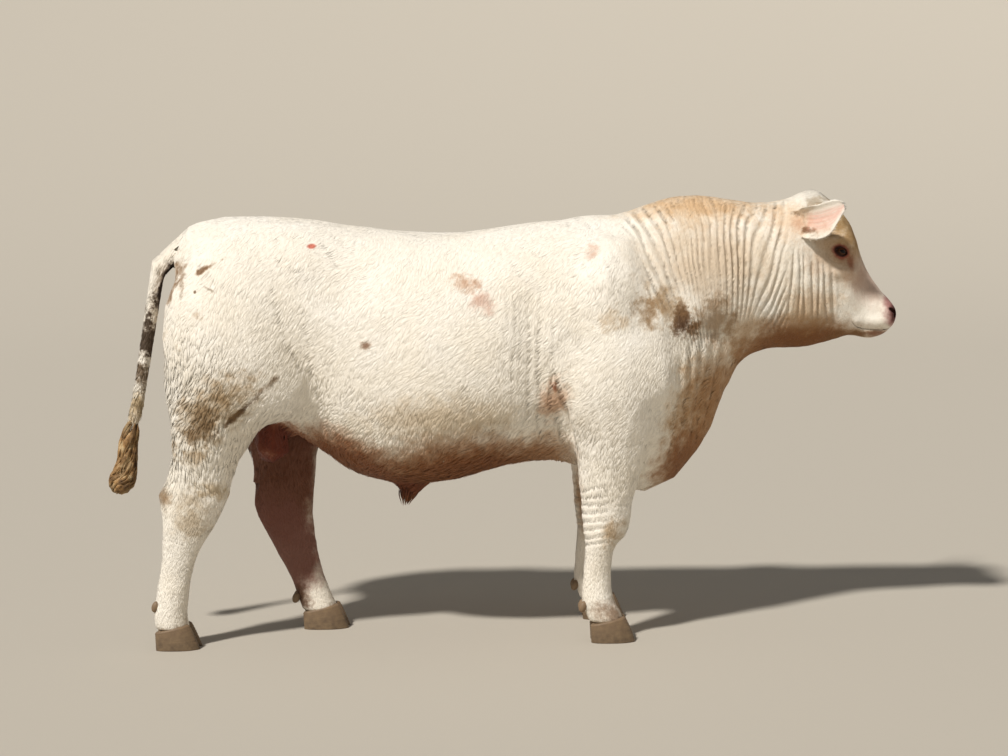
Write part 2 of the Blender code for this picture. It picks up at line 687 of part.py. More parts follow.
def nostril(head, side, suffix):
    """A comma-shaped pit: a deep round hole with a shallow slit that curls up and outwards."""
    for name, (centre, radii, lean) in NOSTRIL.items():
        place = Vector((centre[0], side * centre[1], centre[2]))
        turn = Matrix.Rotation(side * NOSTRIL_TURN, 4, "Z") @ Matrix.Rotation(lean, 4, "X")
        combine(head, ellipsoid(f"{name}_{suffix}", place, radii, turn, CUTTERS), "DIFFERENCE")


def mouth(head):
    """A groove along the line of the mouth, round the front of the muzzle."""
    corners = []
    for x, z in MOUTH_LINE:
        for y in (-0.2, 0.2):
            for up in (-0.5, 0.5):
                corners.append(Vector((x, y, z + up * MOUTH_GAP)))
    faces = [(0, 1, 3, 2)]
    for i in range(len(MOUTH_LINE) - 1):
        a, b = 4 * i, 4 * i + 4
        faces += [(a, b, b + 1, a + 1), (a + 2, a + 3, b + 3, b + 2)]
        faces += [(a, a + 2, b + 2, b), (a + 1, b + 1, b + 3, a + 3)]
    faces.append((a + 4, a + 6, a + 7, a + 5))
    combine(head, object_from("mouth_line", corners, faces, CUTTERS), "DIFFERENCE")
    names = list(SPINE)
    rows = []
    for name in names[names.index("cheeks") :]:
        s = SPINE[name]
        top, bottom = Vector((s.top[0], 0, s.top[1])), Vector((s.bottom[0], 0, s.bottom[1]))
        inward = (bottom - top).normalized() * MOUTH_DEPTH
        top, bottom = top + inward, bottom - inward
        back = MOUTH_DEPTH if name in ("muzzle pad", "muzzle end") else 0.0
        ends = (top.x - back, top.z, bottom.x - back, bottom.z)
        rows.append((*ends, s.half_width - MOUTH_DEPTH, s.widest, s.upper, s.lower))
    core = loft("mouth_core", [section_ring(r) for r in between(rows[:-1], 2)], CUTTERS)
    combine(head, core, "UNION")


def ear(side, suffix):
    """A thick leaf cupped between its two edges. Its root is sunk in the head."""
    across = 7
    upper = [Vector((x, side * y, z)) for x, y, z in between(EAR_UPPER, 2)]
    lower = [Vector((x, side * y, z)) for x, y, z in between(EAR_LOWER, 2)]
    face = Vector((EAR_FACES[0], side * EAR_FACES[1], EAR_FACES[2])).normalized()
    last = len(upper) - 1
    rings = []
    for i, (a, b) in enumerate(zip(upper, lower)):
        share = i / last
        deep = EAR_CUP * (1 - 0.75 * share)
        thick = EAR_THICKNESS * (1.6 - 1.0 * share)
        back, front = [], []
        for k in range(across + 1):
            bow = 4 * (k / across) * (1 - k / across)
            point = a.lerp(b, k / across) - face * (deep * bow**0.7)
            half = thick / 2 * (0.35 + 0.65 * bow)
            back.append(point - face * half)
            front.append(point + face * half)
        rings.append(back + front[::-1])
    return loft("ear_" + suffix, rings, PARTS)


def hanging(name, line, home, sides=12):
    turns = [math.tau * k / sides for k in range(sides)]
    rings = [
        [Vector((x + length * math.cos(turn), width * math.sin(turn), z)) for turn in turns]
        for z, x, length, width in line
    ]
    return loft(name, rings, home)


def pocket(obj, tool):
    """Cuts the tool from the object with the gap round it."""
    combine(obj, copy_of(tool, tool.name + "_pocket", CUTTERS, GAP), "DIFFERENCE")
    largest(obj)


def coronet_height(x, middle):
    return CORONET_HEIGHT + CORONET_SLOPE * (x - middle)


def claw(name, rear, front, spread, side, toe):
    """One claw of a hoof: flat below, sloped at the toe, cut along the coronet above."""
    middle = (rear + front) / 2
    rings = []
    for t in (0.0, 0.18, 0.45, 0.75, 1.0):
        heel = rear + 0.002 * (1 - t)
        tip = front + toe * (1 - t) ** 0.9
        centre, half_length = (heel + tip) / 2, (tip - heel) / 2 - 0.001
        half_width = CLAW_HALF_WIDTH + 0.0015 * (1 - t)
        offset = spread + side * (CLAW_SPREAD + 0.0025 * (1 - t))
        ring = []
        for k in range(14):
            turn = math.tau * k / 14
            x = centre + half_length * signed_power(math.cos(turn), 0.8)
            narrow = 1 - 0.28 * max(math.cos(turn), 0) ** 2
            y = offset + half_width * narrow * signed_power(math.sin(turn), 0.8)
            y -= side * 0.006 * max(math.cos(turn), 0) ** 2
            ring.append(Vector((x, y, t * coronet_height(x, middle))))
        rings.append(ring)
    made = loft(name, rings, PARTS)
    finish_node(made, HORN)
    return made


def foot(lower, levels, side, suffix, back=0.0):
    """Two claws and two dewclaws for one lower leg, which is cut along the coronet."""
    coronet, fetlock = levels["coronet"], levels["fetlock"]
    rear, front = coronet.rear - back, coronet.front - back
    middle = (rear + front) / 2
    spread = side * coronet.spread
    height = coronet_height(middle, middle)
    plane = ((middle + 1, height + CORONET_SLOPE), (middle - 1, height - CORONET_SLOPE))
    below = half_space("coronet_" + suffix, plane, GAP, CUTTERS)
    combine(lower, below, "DIFFERENCE")
    largest(lower)
    for which, way in (("outer", side), ("inner", -side)):
        claw(f"hoof_{suffix}_{which}", rear + 0.004, front - 0.003, spread, way, 0.036)
        place = Vector((fetlock.rear - back + 0.004, spread + way * 0.023, fetlock.height - 0.024))
        turn = Matrix.Rotation(0.35, 4, "Y")
        horn = ellipsoid(f"dewclaw_{suffix}_{which}", place, DEWCLAW_RADII, turn, PARTS, 8, 5)
        pocket(lower, horn)
        finish_node(horn, HORN)


def stretch(line, rings, start, end):
    """The rings from start to end. The first is moved along the line by the gap, but for the root's."""
    piece = [list(ring) for ring in rings[start : end + 1]]
    if start:
        before, after = line[start - 1], line[start + 1]
        ahead = Vector((after[0] - before[0], 0, after[1] - before[1])).normalized()
        piece[0] = [point + ahead * GAP for point in piece[0]]
    return piece


def tail(rump):
    """Three lengths of tail, the first sunk in the rump. Gives the switch's line and first ring."""
    line = between(TAIL_LINE + SWITCH_LINE, 2)
    rings = tube_rings(line, TAIL_SIDES)
    cuts = [0] + [2 * c for c in TAIL_CUTS] + [2 * len(TAIL_LINE) - 2]
    for i in range(3):
        piece = loft(f"tail_{i + 1}", stretch(line, rings, cuts[i], cuts[i + 1]), PARTS)
        if i == 0:
            pocket(rump, piece)
        finish_node(piece, COAT)
    switch = stretch(line, rings, cuts[3], len(line) - 1)
    return line[cuts[3] :], switch[0]


def lock(name, points, outs, width, thickness, home):
    """A flat tapered lock on a path of points. outs are the ways its flat side faces."""
    rings = []
    last = len(points) - 1
    for i, (point, out) in enumerate(zip(points, outs)):
        ahead = (points[min(i + 1, last)] - points[max(i - 1, 0)]).normalized()
        across = ahead.cross(out).normalized()
        up = across.cross(ahead)
        share = i / last
        full = 1 - 0.45 * (1 - 2 * share) if share < 0.5 else 1 - 0.88 * (2 * share - 1) ** 1.7
        wide = across * (width * full / 2)
        thick = up * (thickness * full / 2)
        rings.append([point + wide, point + thick, point - wide, point - thick])
    return loft(name, rings, home)


def along_line(line, share):
    """The point, radius and direction at a share of a line of (x, z, radius)."""
    place = min(share, 1.0) * (len(line) - 1)
    low = min(int(place), len(line) - 2)
    before, after = np.array(line[low]), np.array(line[low + 1])
    x, z, radius = before + (after - before) * (place - low)
    ahead = Vector((after[0] - before[0], 0, after[1] - before[1])).normalized()
    return Vector((x, 0, z)), radius, ahead


def fuse_locks(core, locks, spec):
    """One body from the core and the locks of a collection, which is emptied."""
    step = core.modifiers.new("locks", "BOOLEAN")
    step.operation = "UNION"
    step.operand_type = "COLLECTION"
    step.collection = locks
    step.solver = "EXACT"
    apply_modifiers(core)
    for obj in list(locks.objects):
        bpy.data.objects.remove(obj)
    largest(core)
    finish_node(core, spec)


def switch(line, first_ring):
    """The matted switch: a core half as wide as the clump, under locks that wind down round it."""
    draw = random.Random(SEED)
    core_line = []
    for i, (x, z, radius) in enumerate(line[:-1]):
        share = SWITCH_CORE + (1 - SWITCH_CORE) * max(1 - i / 2, 0)
        core_line.append((x, z, radius * share))
    rings = tube_rings(core_line, TAIL_SIDES)
    rings[0] = first_ring
    core = loft("tail_switch", rings, PARTS)
    locks = collection("switch_locks")
    reach, width, thickness = SWITCH_LOCK
    side = Vector((0, 1, 0))
    for i in range(SWITCH_LOCKS):
        start = 0.07 + (0.93 - reach) * ((i + 0.5) / SWITCH_LOCKS) ** 0.8
        length = reach * draw.uniform(0.9, 1.1)
        turn = 2.4 * i + draw.uniform(-0.25, 0.25)
        wave = draw.uniform(-0.25, 0.25)
        lift = draw.uniform(0.90, 1.0)
        points, outs = [], []
        for k in range(LOCK_RINGS):
            t = k / (LOCK_RINGS - 1)
            centre, radius, ahead = along_line(line, start + length * t)
            angle = turn + SWITCH_TWIST * length * t + wave * math.sin(math.pi * t)
            out = side * math.cos(angle) + ahead.cross(side) * math.sin(angle)
            rise = math.sin(min(t * 2.2, 1.0) * math.pi / 2)
            points.append(centre + out * (radius * lift * (0.28 + 0.62 * rise)))
            outs.append(out)
        lock(f"switch_lock_{i}", points, outs, width, thickness, locks)
    fuse_locks(core, locks, TAIL_HAIR)


def sheath_tuft(core):
    """Short locks that hang from the sheath's end and draw together at their tips."""
    draw = random.Random(SEED + 1)
    locks = collection("sheath_locks")
    width, thickness = SHEATH_LOCK
    for i in range(SHEATH_LOCKS):
        turn = math.tau * (i + draw.uniform(-0.2, 0.2)) / SHEATH_LOCKS
        out = Vector((math.cos(turn), 0.7 * math.sin(turn), 0))
        height = (0.497, 0.482)[i % 2]
        root = Vector((-0.310, 0, height)) + out * (0.024, 0.013)[i % 2]
        tip = Vector((SHEATH_TIP[0], 0, SHEATH_TIP[1])) + out * draw.uniform(0.006, 0.018)
        tip.z += draw.uniform(0.0, 0.012)
        points = []
        for k in range(LOCK_RINGS):
            t = k / (LOCK_RINGS - 1)
            points.append(root.lerp(tip, t) + out * (0.011 * math.sin(math.pi * t**0.8)))
        outs = [out.normalized()] * LOCK_RINGS
        lock(f"sheath_lock_{i}", points, outs, width, thickness, locks)
    fuse_locks(core, locks, COAT)


clear_scene()
PARTS = collection("charolais_bull")
CUTTERS = collection("cutters")

barrel = whole_body(PARTS)
barrel.name = "barrel"

lower_legs = {}
legs = (
    ("fore_right", FORELEG, -1, 0.0, ELBOW_HEIGHT, KNEE_HEIGHT, (0.150, 0.112), (0.495, 0.400)),
    ("fore_left", FORELEG, 1, 0.012, ELBOW_HEIGHT, KNEE_HEIGHT, (0.150, 0.112), (0.495, 0.400)),
    ("hind_right", HINDLEG_RIGHT, -1, 0.0, THIGH_HEIGHTS[0], HOCK_HEIGHT, (-1.4, 0.085), (-0.755, 0.4)),
    ("hind_left", HINDLEG_LEFT, 1, 0.0, THIGH_HEIGHTS[1], HOCK_HEIGHT, (-1.4, 0.030), (-0.500, 0.4)),
)
for suffix, levels, side, back, top, joint, near, far in legs:
    low_y, high_y = sorted((side * near[1], side * far[1]))
    lower = part_box(barrel, "leg_" + suffix, (near[0], low_y, -1.0), (far[0], high_y, top))
    region = ((near[0] - 1, low_y - 1, joint), (far[0] + 1, high_y + 1, top + 1))
    upper = part_box(lower, "upper_leg_" + suffix, *region)
    lower.name = "lower_leg_" + suffix
    foot(lower, levels, side, suffix, back)
    finish_node(lower, COAT)
    finish_node(upper, COAT)

head = part_plane(barrel, "head", HEAD_CUT)
neck = part_plane(barrel, "neck", NECK_CUT)
chest = part_plane(barrel, "chest", CHEST_CUT)
middle = part_plane(barrel, "middle", LOIN_CUT)
rump, barrel = barrel, middle
rump.name, barrel.name = "hindquarters", "barrel"

for side, suffix in ((1, "left"), (-1, "right")):
    blade = ear(side, suffix)
    pocket(head, blade)
    finish_node(blade, EAR_SKIN)
mouth(head)
for side, suffix in ((1, "left"), (-1, "right")):
    nostril(head, side, suffix)
    eye(head, side, suffix)
largest(head)

switch(*tail(rump))
sheath = hanging("sheath", SHEATH, PARTS)
pocket(barrel, sheath)
sheath_tuft(sheath)
scrotum = hanging("scrotum", SCROTUM, PARTS)
pocket(rump, scrotum)
finish_node(scrotum, COAT)
for obj in (head, neck, chest, barrel, rump):
    finish_node(obj, COAT)

for cutter in CUTTERS.objects:
    cutter.hide_render = True
    cutter.display_type = "WIRE"
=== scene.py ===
import json
import math
import random
from collections import namedtuple

import bmesh
import bpy
import numpy as np
from bpy.props import FloatProperty, FloatVectorProperty, IntProperty, PointerProperty
from mathutils import Matrix, Vector

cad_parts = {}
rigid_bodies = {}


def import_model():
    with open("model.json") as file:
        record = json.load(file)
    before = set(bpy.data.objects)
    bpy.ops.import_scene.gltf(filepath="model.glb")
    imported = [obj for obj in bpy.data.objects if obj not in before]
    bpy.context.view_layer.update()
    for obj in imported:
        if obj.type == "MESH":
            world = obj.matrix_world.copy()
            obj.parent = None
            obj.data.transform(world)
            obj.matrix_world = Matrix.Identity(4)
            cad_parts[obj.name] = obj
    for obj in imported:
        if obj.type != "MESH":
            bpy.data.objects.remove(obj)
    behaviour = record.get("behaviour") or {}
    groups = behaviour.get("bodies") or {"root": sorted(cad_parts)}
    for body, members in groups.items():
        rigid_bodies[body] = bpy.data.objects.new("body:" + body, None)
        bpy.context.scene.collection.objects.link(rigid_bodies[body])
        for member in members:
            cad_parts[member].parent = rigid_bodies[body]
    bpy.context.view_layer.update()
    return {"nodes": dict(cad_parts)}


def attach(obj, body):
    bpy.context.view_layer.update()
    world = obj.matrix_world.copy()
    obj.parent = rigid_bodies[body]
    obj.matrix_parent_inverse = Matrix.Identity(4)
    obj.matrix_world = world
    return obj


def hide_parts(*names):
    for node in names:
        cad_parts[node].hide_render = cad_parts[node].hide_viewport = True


bl_info = {
    "name": "Charolais Bull",
    "version": (1, 0, 0),
    "blender": (4, 5, 0),
    "location": "View3D > Sidebar > Bull",
    "description": "Builds the hide, coat, eyes, hooves and hair of a standing Charolais bull",
    "category": "Object",
}

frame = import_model()

# Driving dimensions of the body, in metres
RING_SIDES = 64
RINGS_BETWEEN = 8
CORONET_HEIGHT = 0.07
CORONET_SLOPE = 0.22
EYE_RADIUS = 0.021
EYE_PLACE = (1.113, 0.109, 1.258)
EYE_TURN = math.radians(22)
EYE_SLANT = math.radians(20)
LID_THICKNESS = 0.0055
EAR_THICKNESS = 0.0062
EAR_CUP = 0.032
NOSTRIL_TURN = 0.85
CLAW_SPREAD = 0.029
CLAW_HALF_WIDTH = 0.027
CLAW_TOE = 0.036
LID_OPENING = (0.0212, 0.0138)
MOUTH_GAP = 0.0035
MOUTH_DEPTH = 0.008
SHEATH_TIP = (-0.326, 0.431)
DEWCLAW_RADII = (0.013, 0.012, 0.019)
HEAD_CUT = ((0.922, 1.47), (0.885, 0.9))
NECK_CUT = ((0.47, 1.45), (0.77, 0.78))

def table(kind, rows):
    """Named rows of numbers, each with its columns named as the kind says."""
    return {name: kind(*row) for name, row in rows.items()}


# Cross-sections from rump to muzzle. top and low are their ends on the middle plane, widest is the
# height of the widest place as a share from low to top, and upper and lower are the powers of the
# superellipse above and below it: 2 is round, more is boxy, less is pointed.
Section = namedtuple("Section", "top_x top_z low_x low_z half_width widest upper lower")
SPINE = table(Section, {
    "rump end": (-1.06, 1.29, -1.072, 1.08, 0.05, 0.5, 2, 2),
    "pin bones": (-1.045, 1.366, -1.06, 0.96, 0.135, 0.62, 2, 2),
    "tail head": (-0.985, 1.398, -1, 0.84, 0.215, 0.55, 2.1, 2),
    "hip joints": (-0.88, 1.407, -0.89, 0.78, 0.27, 0.5, 2.2, 2),
    "sacrum": (-0.75, 1.409, -0.76, 0.72, 0.285, 0.52, 2.3, 2),
    "hooks": (-0.63, 1.395, -0.63, 0.64, 0.285, 0.56, 2.5, 2),
    "loin": (-0.5, 1.375, -0.5, 0.552, 0.3, 0.48, 2.4, 2.1),
    "last ribs": (-0.35, 1.357, -0.35, 0.512, 0.33, 0.45, 2.3, 2.2),
    "barrel": (-0.18, 1.342, -0.18, 0.516, 0.345, 0.46, 2.2, 2.2),
    "girth": (0, 1.362, 0, 0.562, 0.335, 0.48, 2.1, 2.1),
    "behind elbow": (0.15, 1.377, 0.15, 0.577, 0.31, 0.48, 2, 2),
    "withers": (0.28, 1.391, 0.29, 0.545, 0.3, 0.48, 1.9, 2),
    "shoulder": (0.4, 1.398, 0.43, 0.468, 0.286, 0.46, 1.9, 2),
    "neck base": (0.5, 1.428, 0.545, 0.492, 0.262, 0.5, 1.9, 1.7),
    "brisket": (0.6, 1.448, 0.64, 0.58, 0.228, 0.54, 1.9, 1.5),
    "dewlap": (0.7, 1.445, 0.705, 0.68, 0.198, 0.58, 2, 1.35),
    "throat fold": (0.79, 1.43, 0.757, 0.815, 0.184, 0.57, 2.1, 1.4),
    "throat": (0.87, 1.424, 0.812, 0.9, 0.17, 0.54, 2.1, 1.6),
    "nape": (0.95, 1.434, 0.89, 0.934, 0.157, 0.52, 2.1, 1.8),
    "jowl": (1, 1.455, 0.95, 0.936, 0.146, 0.52, 2, 1.8),
    "poll": (1.045, 1.464, 1, 0.938, 0.134, 0.54, 1.9, 1.8),
    "crown": (1.085, 1.44, 1.042, 0.944, 0.13, 0.6, 2.1, 1.7),
    "eyes": (1.126, 1.397, 1.074, 0.952, 0.127, 0.66, 2.5, 1.6),
    "cheeks": (1.158, 1.352, 1.096, 0.958, 0.123, 0.68, 2.6, 1.6),
    "tear bones": (1.18, 1.305, 1.114, 0.963, 0.112, 0.62, 2.4, 1.7),
    "nose root": (1.195, 1.26, 1.131, 0.969, 0.099, 0.55, 2.1, 1.8),
    "nose bridge": (1.211, 1.217, 1.149, 0.974, 0.088, 0.5, 1.9, 2),
    "mouth corner": (1.231, 1.178, 1.166, 0.977, 0.08, 0.46, 1.9, 2.1),
    "upper lip": (1.254, 1.143, 1.186, 0.974, 0.076, 0.48, 2, 2.2),
    "chin": (1.277, 1.114, 1.21, 0.967, 0.076, 0.52, 2.2, 2.2),
    "nostrils": (1.296, 1.092, 1.238, 0.968, 0.078, 0.56, 2.4, 2.2),
    "muzzle pad": (1.311, 1.067, 1.266, 0.977, 0.073, 0.56, 2.4, 2.2),
    "muzzle end": (1.317, 1.046, 1.29, 0.993, 0.056, 0.54, 2.2, 2.2),
})

# Level cross-sections of a leg, from the top down. rear and front are the x of its hind and fore
# edges, spread is how far its middle stands from the middle plane.
Level = namedtuple("Level", "height rear front spread half_width")
FORELEG = table(Level, {
    "blade top": (1.24, 0.27, 0.4, 0.11, 0.04),
    "blade": (1.12, 0.2, 0.47, 0.18, 0.082),
    "shoulder joint": (0.96, 0.155, 0.51, 0.214, 0.104),
    "upper arm": (0.84, 0.15, 0.515, 0.22, 0.108),
    "elbow": (0.75, 0.19, 0.5, 0.216, 0.101),
    "arm top": (0.68, 0.222, 0.489, 0.207, 0.09),
    "forearm": (0.6, 0.238, 0.464, 0.2, 0.076),
    "forearm middle": (0.52, 0.245, 0.44, 0.195, 0.064),
    "forearm end": (0.45, 0.251, 0.422, 0.19, 0.057),
    "knee top": (0.4, 0.253, 0.414, 0.19, 0.057),
    "knee": (0.35, 0.259, 0.396, 0.19, 0.056),
    "knee end": (0.305, 0.263, 0.362, 0.19, 0.048),
    "cannon": (0.25, 0.258, 0.351, 0.19, 0.042),
    "cannon end": (0.19, 0.253, 0.35, 0.19, 0.041),
    "fetlock": (0.14, 0.249, 0.356, 0.19, 0.051),
    "pastern": (0.1, 0.259, 0.376, 0.19, 0.055),
    "coronet": (0.062, 0.272, 0.392, 0.19, 0.056),
})
HINDLEG_RIGHT = table(Level, {
    "rump": (1.3, -1, -0.74, 0.13, 0.09),
    "hip": (1.16, -1.08, -0.67, 0.172, 0.138),
    "thigh": (1.02, -1.099, -0.63, 0.19, 0.15),
    "lower thigh": (0.91, -1.094, -0.625, 0.198, 0.142),
    "stifle": (0.81, -1.084, -0.67, 0.205, 0.12),
    "gaskin top": (0.72, -1.078, -0.775, 0.205, 0.096),
    "gaskin": (0.635, -1.077, -0.845, 0.2, 0.074),
    "gaskin end": (0.565, -1.096, -0.872, 0.2, 0.059),
    "hock": (0.495, -1.12, -0.892, 0.2, 0.053),
    "hock end": (0.43, -1.114, -0.925, 0.2, 0.05),
    "cannon top": (0.37, -1.117, -0.962, 0.2, 0.044),
    "cannon": (0.305, -1.119, -1, 0.2, 0.039),
    "cannon end": (0.235, -1.131, -1.022, 0.2, 0.038),
    "fetlock": (0.165, -1.144, -1.034, 0.2, 0.046),
    "pastern": (0.11, -1.151, -1.04, 0.2, 0.052),
    "coronet": (0.062, -1.148, -1.03, 0.2, 0.054),
})
# The left hind leg is drawn up, a short step ahead and closer to the middle.
HINDLEG_LEFT = table(Level, {
    "rump": (1.3, -1, -0.74, 0.13, 0.09),
    "hip": (1.16, -1.076, -0.66, 0.172, 0.138),
    "thigh": (1.02, -1.085, -0.6, 0.19, 0.15),
    "lower thigh": (0.91, -1.062, -0.57, 0.196, 0.142),
    "stifle": (0.81, -1.02, -0.565, 0.192, 0.122),
    "gaskin top": (0.72, -0.955, -0.592, 0.18, 0.098),
    "gaskin": (0.635, -0.888, -0.624, 0.16, 0.076),
    "gaskin end": (0.56, -0.858, -0.637, 0.146, 0.06),
    "hock": (0.47, -0.862, -0.648, 0.13, 0.053),
    "hock end": (0.4, -0.85, -0.65, 0.12, 0.05),
    "cannon top": (0.33, -0.816, -0.646, 0.112, 0.044),
    "cannon": (0.26, -0.78, -0.636, 0.106, 0.039),
    "cannon end": (0.19, -0.742, -0.62, 0.102, 0.039),
    "fetlock": (0.13, -0.718, -0.6, 0.1, 0.047),
    "pastern": (0.095, -0.706, -0.585, 0.1, 0.052),
    "coronet": (0.058, -0.695, -0.567, 0.1, 0.054),
})

# Rounded masses that stand out of the lofts: centre, radii, and lean about Y. One off the middle
# plane stands on both sides.
Mass = namedtuple("Mass", "centre radii lean")
MASSES = table(Mass, {
    "rump muscle": ((-0.85, 0.17, 1.15), (0.2, 0.125, 0.19), 0.3),
    "thigh muscle": ((-0.92, 0.21, 0.95), (0.165, 0.12, 0.21), -0.1),
    "stifle": ((-0.72, 0.205, 0.86), (0.115, 0.095, 0.13), 0.4),
    "shoulder blade": ((0.325, 0.16, 1.06), (0.165, 0.14, 0.27), 0.25),
    "point of shoulder": ((0.465, 0.18, 0.89), (0.12, 0.115, 0.165), 0),
    "upper arm": ((0.3, 0.205, 0.85), (0.175, 0.118, 0.175), 0.4),
    "brow": ((1.106, 0.084, 1.298), (0.062, 0.042, 0.045), 0.6),
    "sheath root": ((-0.31, 0, 0.56), (0.15, 0.07, 0.055), 0),
})

# Fine forms pressed in or raised along the surface: centre, reach, and depth, on both sides.
Press = namedtuple("Press", "centre reach amount")
PRESSES = table(Press, {
    "hook bone": ((-0.63, 0.26, 1.285), (0.07, 0.09, 0.05), 0.016),
    "pin bone": ((-1.07, 0.11, 1.262), (0.05, 0.05, 0.04), 0.012),
    "flank hollow": ((-0.5, 0.29, 1.19), (0.1, 0.12, 0.09), -0.018),
    "behind shoulder": ((0.1, 0.32, 0.98), (0.055, 0.12, 0.22), -0.012),
    "blade ridge": ((0.335, 0.25, 1.16), (0.03, 0.08, 0.12), 0.007),
    "elbow pit": ((0.16, 0.3, 0.69), (0.05, 0.12, 0.09), -0.02),
    "flank fold": ((-0.6, 0.29, 0.79), (0.05, 0.13, 0.1), -0.022),
    "thigh groove": ((-0.83, 0.33, 0.76), (0.05, 0.1, 0.07), -0.01),
    "neck groove": ((0.74, 0.18, 1), (0.12, 0.08, 0.045), -0.014),
    "shoulder front": ((0.57, 0.24, 1.08), (0.045, 0.09, 0.2), -0.014),
    "crest": ((0.65, 0, 1.44), (0.2, 0.06, 0.04), 0.006),
    "eye hollow": ((1.085, 0.13, 1.325), (0.035, 0.05, 0.03), -0.008),
    "tear groove": ((1.15, 0.105, 1.23), (0.028, 0.05, 0.024), -0.006),
    "jaw muscle": ((1.03, 0.14, 1.11), (0.07, 0.06, 0.1), 0.006),
    "cheek bone": ((1.11, 0.118, 1.185), (0.055, 0.05, 0.016), 0.005),
    "nose side": ((1.2, 0.085, 1.11), (0.035, 0.05, 0.045), -0.006),
    "nostril wing": ((1.288, 0.06, 1.062), (0.02, 0.03, 0.022), 0.006),
    "lip pad": ((1.25, 0.07, 1.022), (0.035, 0.04, 0.016), 0.005),
    "under lip": ((1.235, 0.07, 0.998), (0.06, 0.05, 0.008), -0.004),
    "spine furrow": ((-0.25, 0, 1.36), (0.33, 0.035, 0.05), -0.003),
    "knee": ((0.41, 0.19, 0.36), (0.03, 0.06, 0.035), 0.004),
    "hock point": ((-1.12, 0.2, 0.51), (0.025, 0.04, 0.03), 0.004),
})

# The two pits of the left nostril: centre, radii with the depth first, and lean.
NOSTRIL = {
    "nostril": ((1.296, 0.052, 1.046), (0.026, 0.013, 0.019), 0),
    "nostril_curl": ((1.29, 0.064, 1.06), (0.018, 0.015, 0.0085), -0.5),
}

# The line of the mouth from its corner to the front, as x and z.
MOUTH_LINE = [
    (1.158, 1.026), (1.175, 1.01), (1.205, 1.001), (1.24, 0.998), (1.275, 0.998), (1.33, 1.004),
]

# The edges of the left ear's blade from root to tip, and the way its hollow faces.
EAR_UPPER = [
    (0.946, 0.088, 1.388), (0.985, 0.132, 1.402), (1.03, 0.18, 1.412), (1.074, 0.222, 1.426),
    (1.098, 0.243, 1.419),
]
EAR_LOWER = [
    (0.952, 0.09, 1.322), (0.984, 0.134, 1.308), (1.022, 0.178, 1.3), (1.062, 0.218, 1.318),
    (1.103, 0.249, 1.39),
]
EAR_FACES = np.array((-0.64, 0.76, -0.1)) / np.linalg.norm((-0.64, 0.76, -0.1))

# The middle line of the tail as x and z with its radius. It starts inside the rump and goes on
# as the switch.
TAIL_LINE = [
    (-0.985, 1.335, 0.046), (-1.045, 1.322, 0.043), (-1.098, 1.285, 0.036),
    (-1.133, 1.225, 0.029), (-1.155, 1.15, 0.025), (-1.17, 1.06, 0.023), (-1.185, 0.97, 0.021),
    (-1.2, 0.89, 0.02), (-1.217, 0.81, 0.019), (-1.234, 0.745, 0.02),
]
SWITCH_LINE = [
    (-1.244, 0.705, 0.027), (-1.256, 0.65, 0.031), (-1.259, 0.6, 0.033), (-1.27, 0.555, 0.041),
    (-1.282, 0.525, 0.044), (-1.288, 0.5, 0.032), (-1.29, 0.484, 0.012),
]

# Pear-shaped hanging pieces from the top down: height, x, half length and half width.
SHEATH = [
    (0.575, -0.29, 0.05, 0.034), (0.535, -0.296, 0.062, 0.036), (0.5, -0.303, 0.052, 0.031),
    (0.475, -0.312, 0.034, 0.022), (0.459, -0.318, 0.016, 0.012),
]
SCROTUM = [
    (0.79, -0.77, 0.034, 0.036), (0.74, -0.772, 0.04, 0.044), (0.69, -0.774, 0.052, 0.06),
    (0.64, -0.774, 0.056, 0.064), (0.615, -0.774, 0.051, 0.059), (0.598, -0.774, 0.04, 0.047),
    (0.588, -0.774, 0.025, 0.03), (0.584, -0.774, 0.008, 0.01),
]

# The folds of the neck fan out from one point below it. Pleats are creases elsewhere, each from
# its upper to its lower end as x and z, with its depth and half width.
FOLD_FAN = (0.72, 0.59)
FOLD_ANGLE = 0.0345
Pleat = namedtuple("Pleat", "upper lower depth half_width")
CHEEK = (0.0058, 0.0044)
PLEATS = [
    Pleat((0.956 + 0.0205 * k, 1.27 - 0.01 * k), (0.948 + 0.0245 * k, 1.052 - 0.003 * k), *CHEEK)
    for k in range(7)
]
PLEATS += [Pleat(*row) for row in (
    # fine upright creases behind the shoulder
    ((0.02, 1.15), (0.012, 0.89), 0.001, 0.005),
    ((0.046, 1.185), (0.038, 0.81), 0.0016, 0.005),
    ((0.068, 1.17), (0.06, 0.9), 0.0011, 0.005),
    ((0.096, 1.08), (0.088, 0.69), 0.0018, 0.0052),
    ((0.122, 1.11), (0.112, 0.73), 0.0026, 0.0055),
    ((0.11, 0.79), (0.138, 0.64), 0.005, 0.005),
    # the pocket of skin behind the elbow
    ((0.166, 1.09), (0.16, 0.9), 0.0016, 0.005),
    ((0.16, 0.9), (0.15, 0.755), 0.006, 0.0055),
    ((0.15, 0.785), (0.207, 0.64), 0.006, 0.0055),
    ((0.168, 0.905), (0.24, 0.64), 0.009, 0.006),
    # the dewlap and the breast
    ((0.585, 0.96), (0.56, 0.7), 0.003, 0.007),
    ((0.622, 1), (0.59, 0.64), 0.006, 0.008),
    ((0.655, 0.985), (0.618, 0.62), 0.0065, 0.008),
    ((0.69, 0.97), (0.64, 0.64), 0.007, 0.0085),
    ((0.728, 0.96), (0.668, 0.68), 0.006, 0.008),
    ((0.56, 0.7), (0.54, 0.52), 0.005, 0.008),
)]
FOREARM_CREASES = [0.318 + 0.0265 * k for k in range(8)]
HOCK_CREASES = [0.468 + 0.02 * k for k in range(4)]
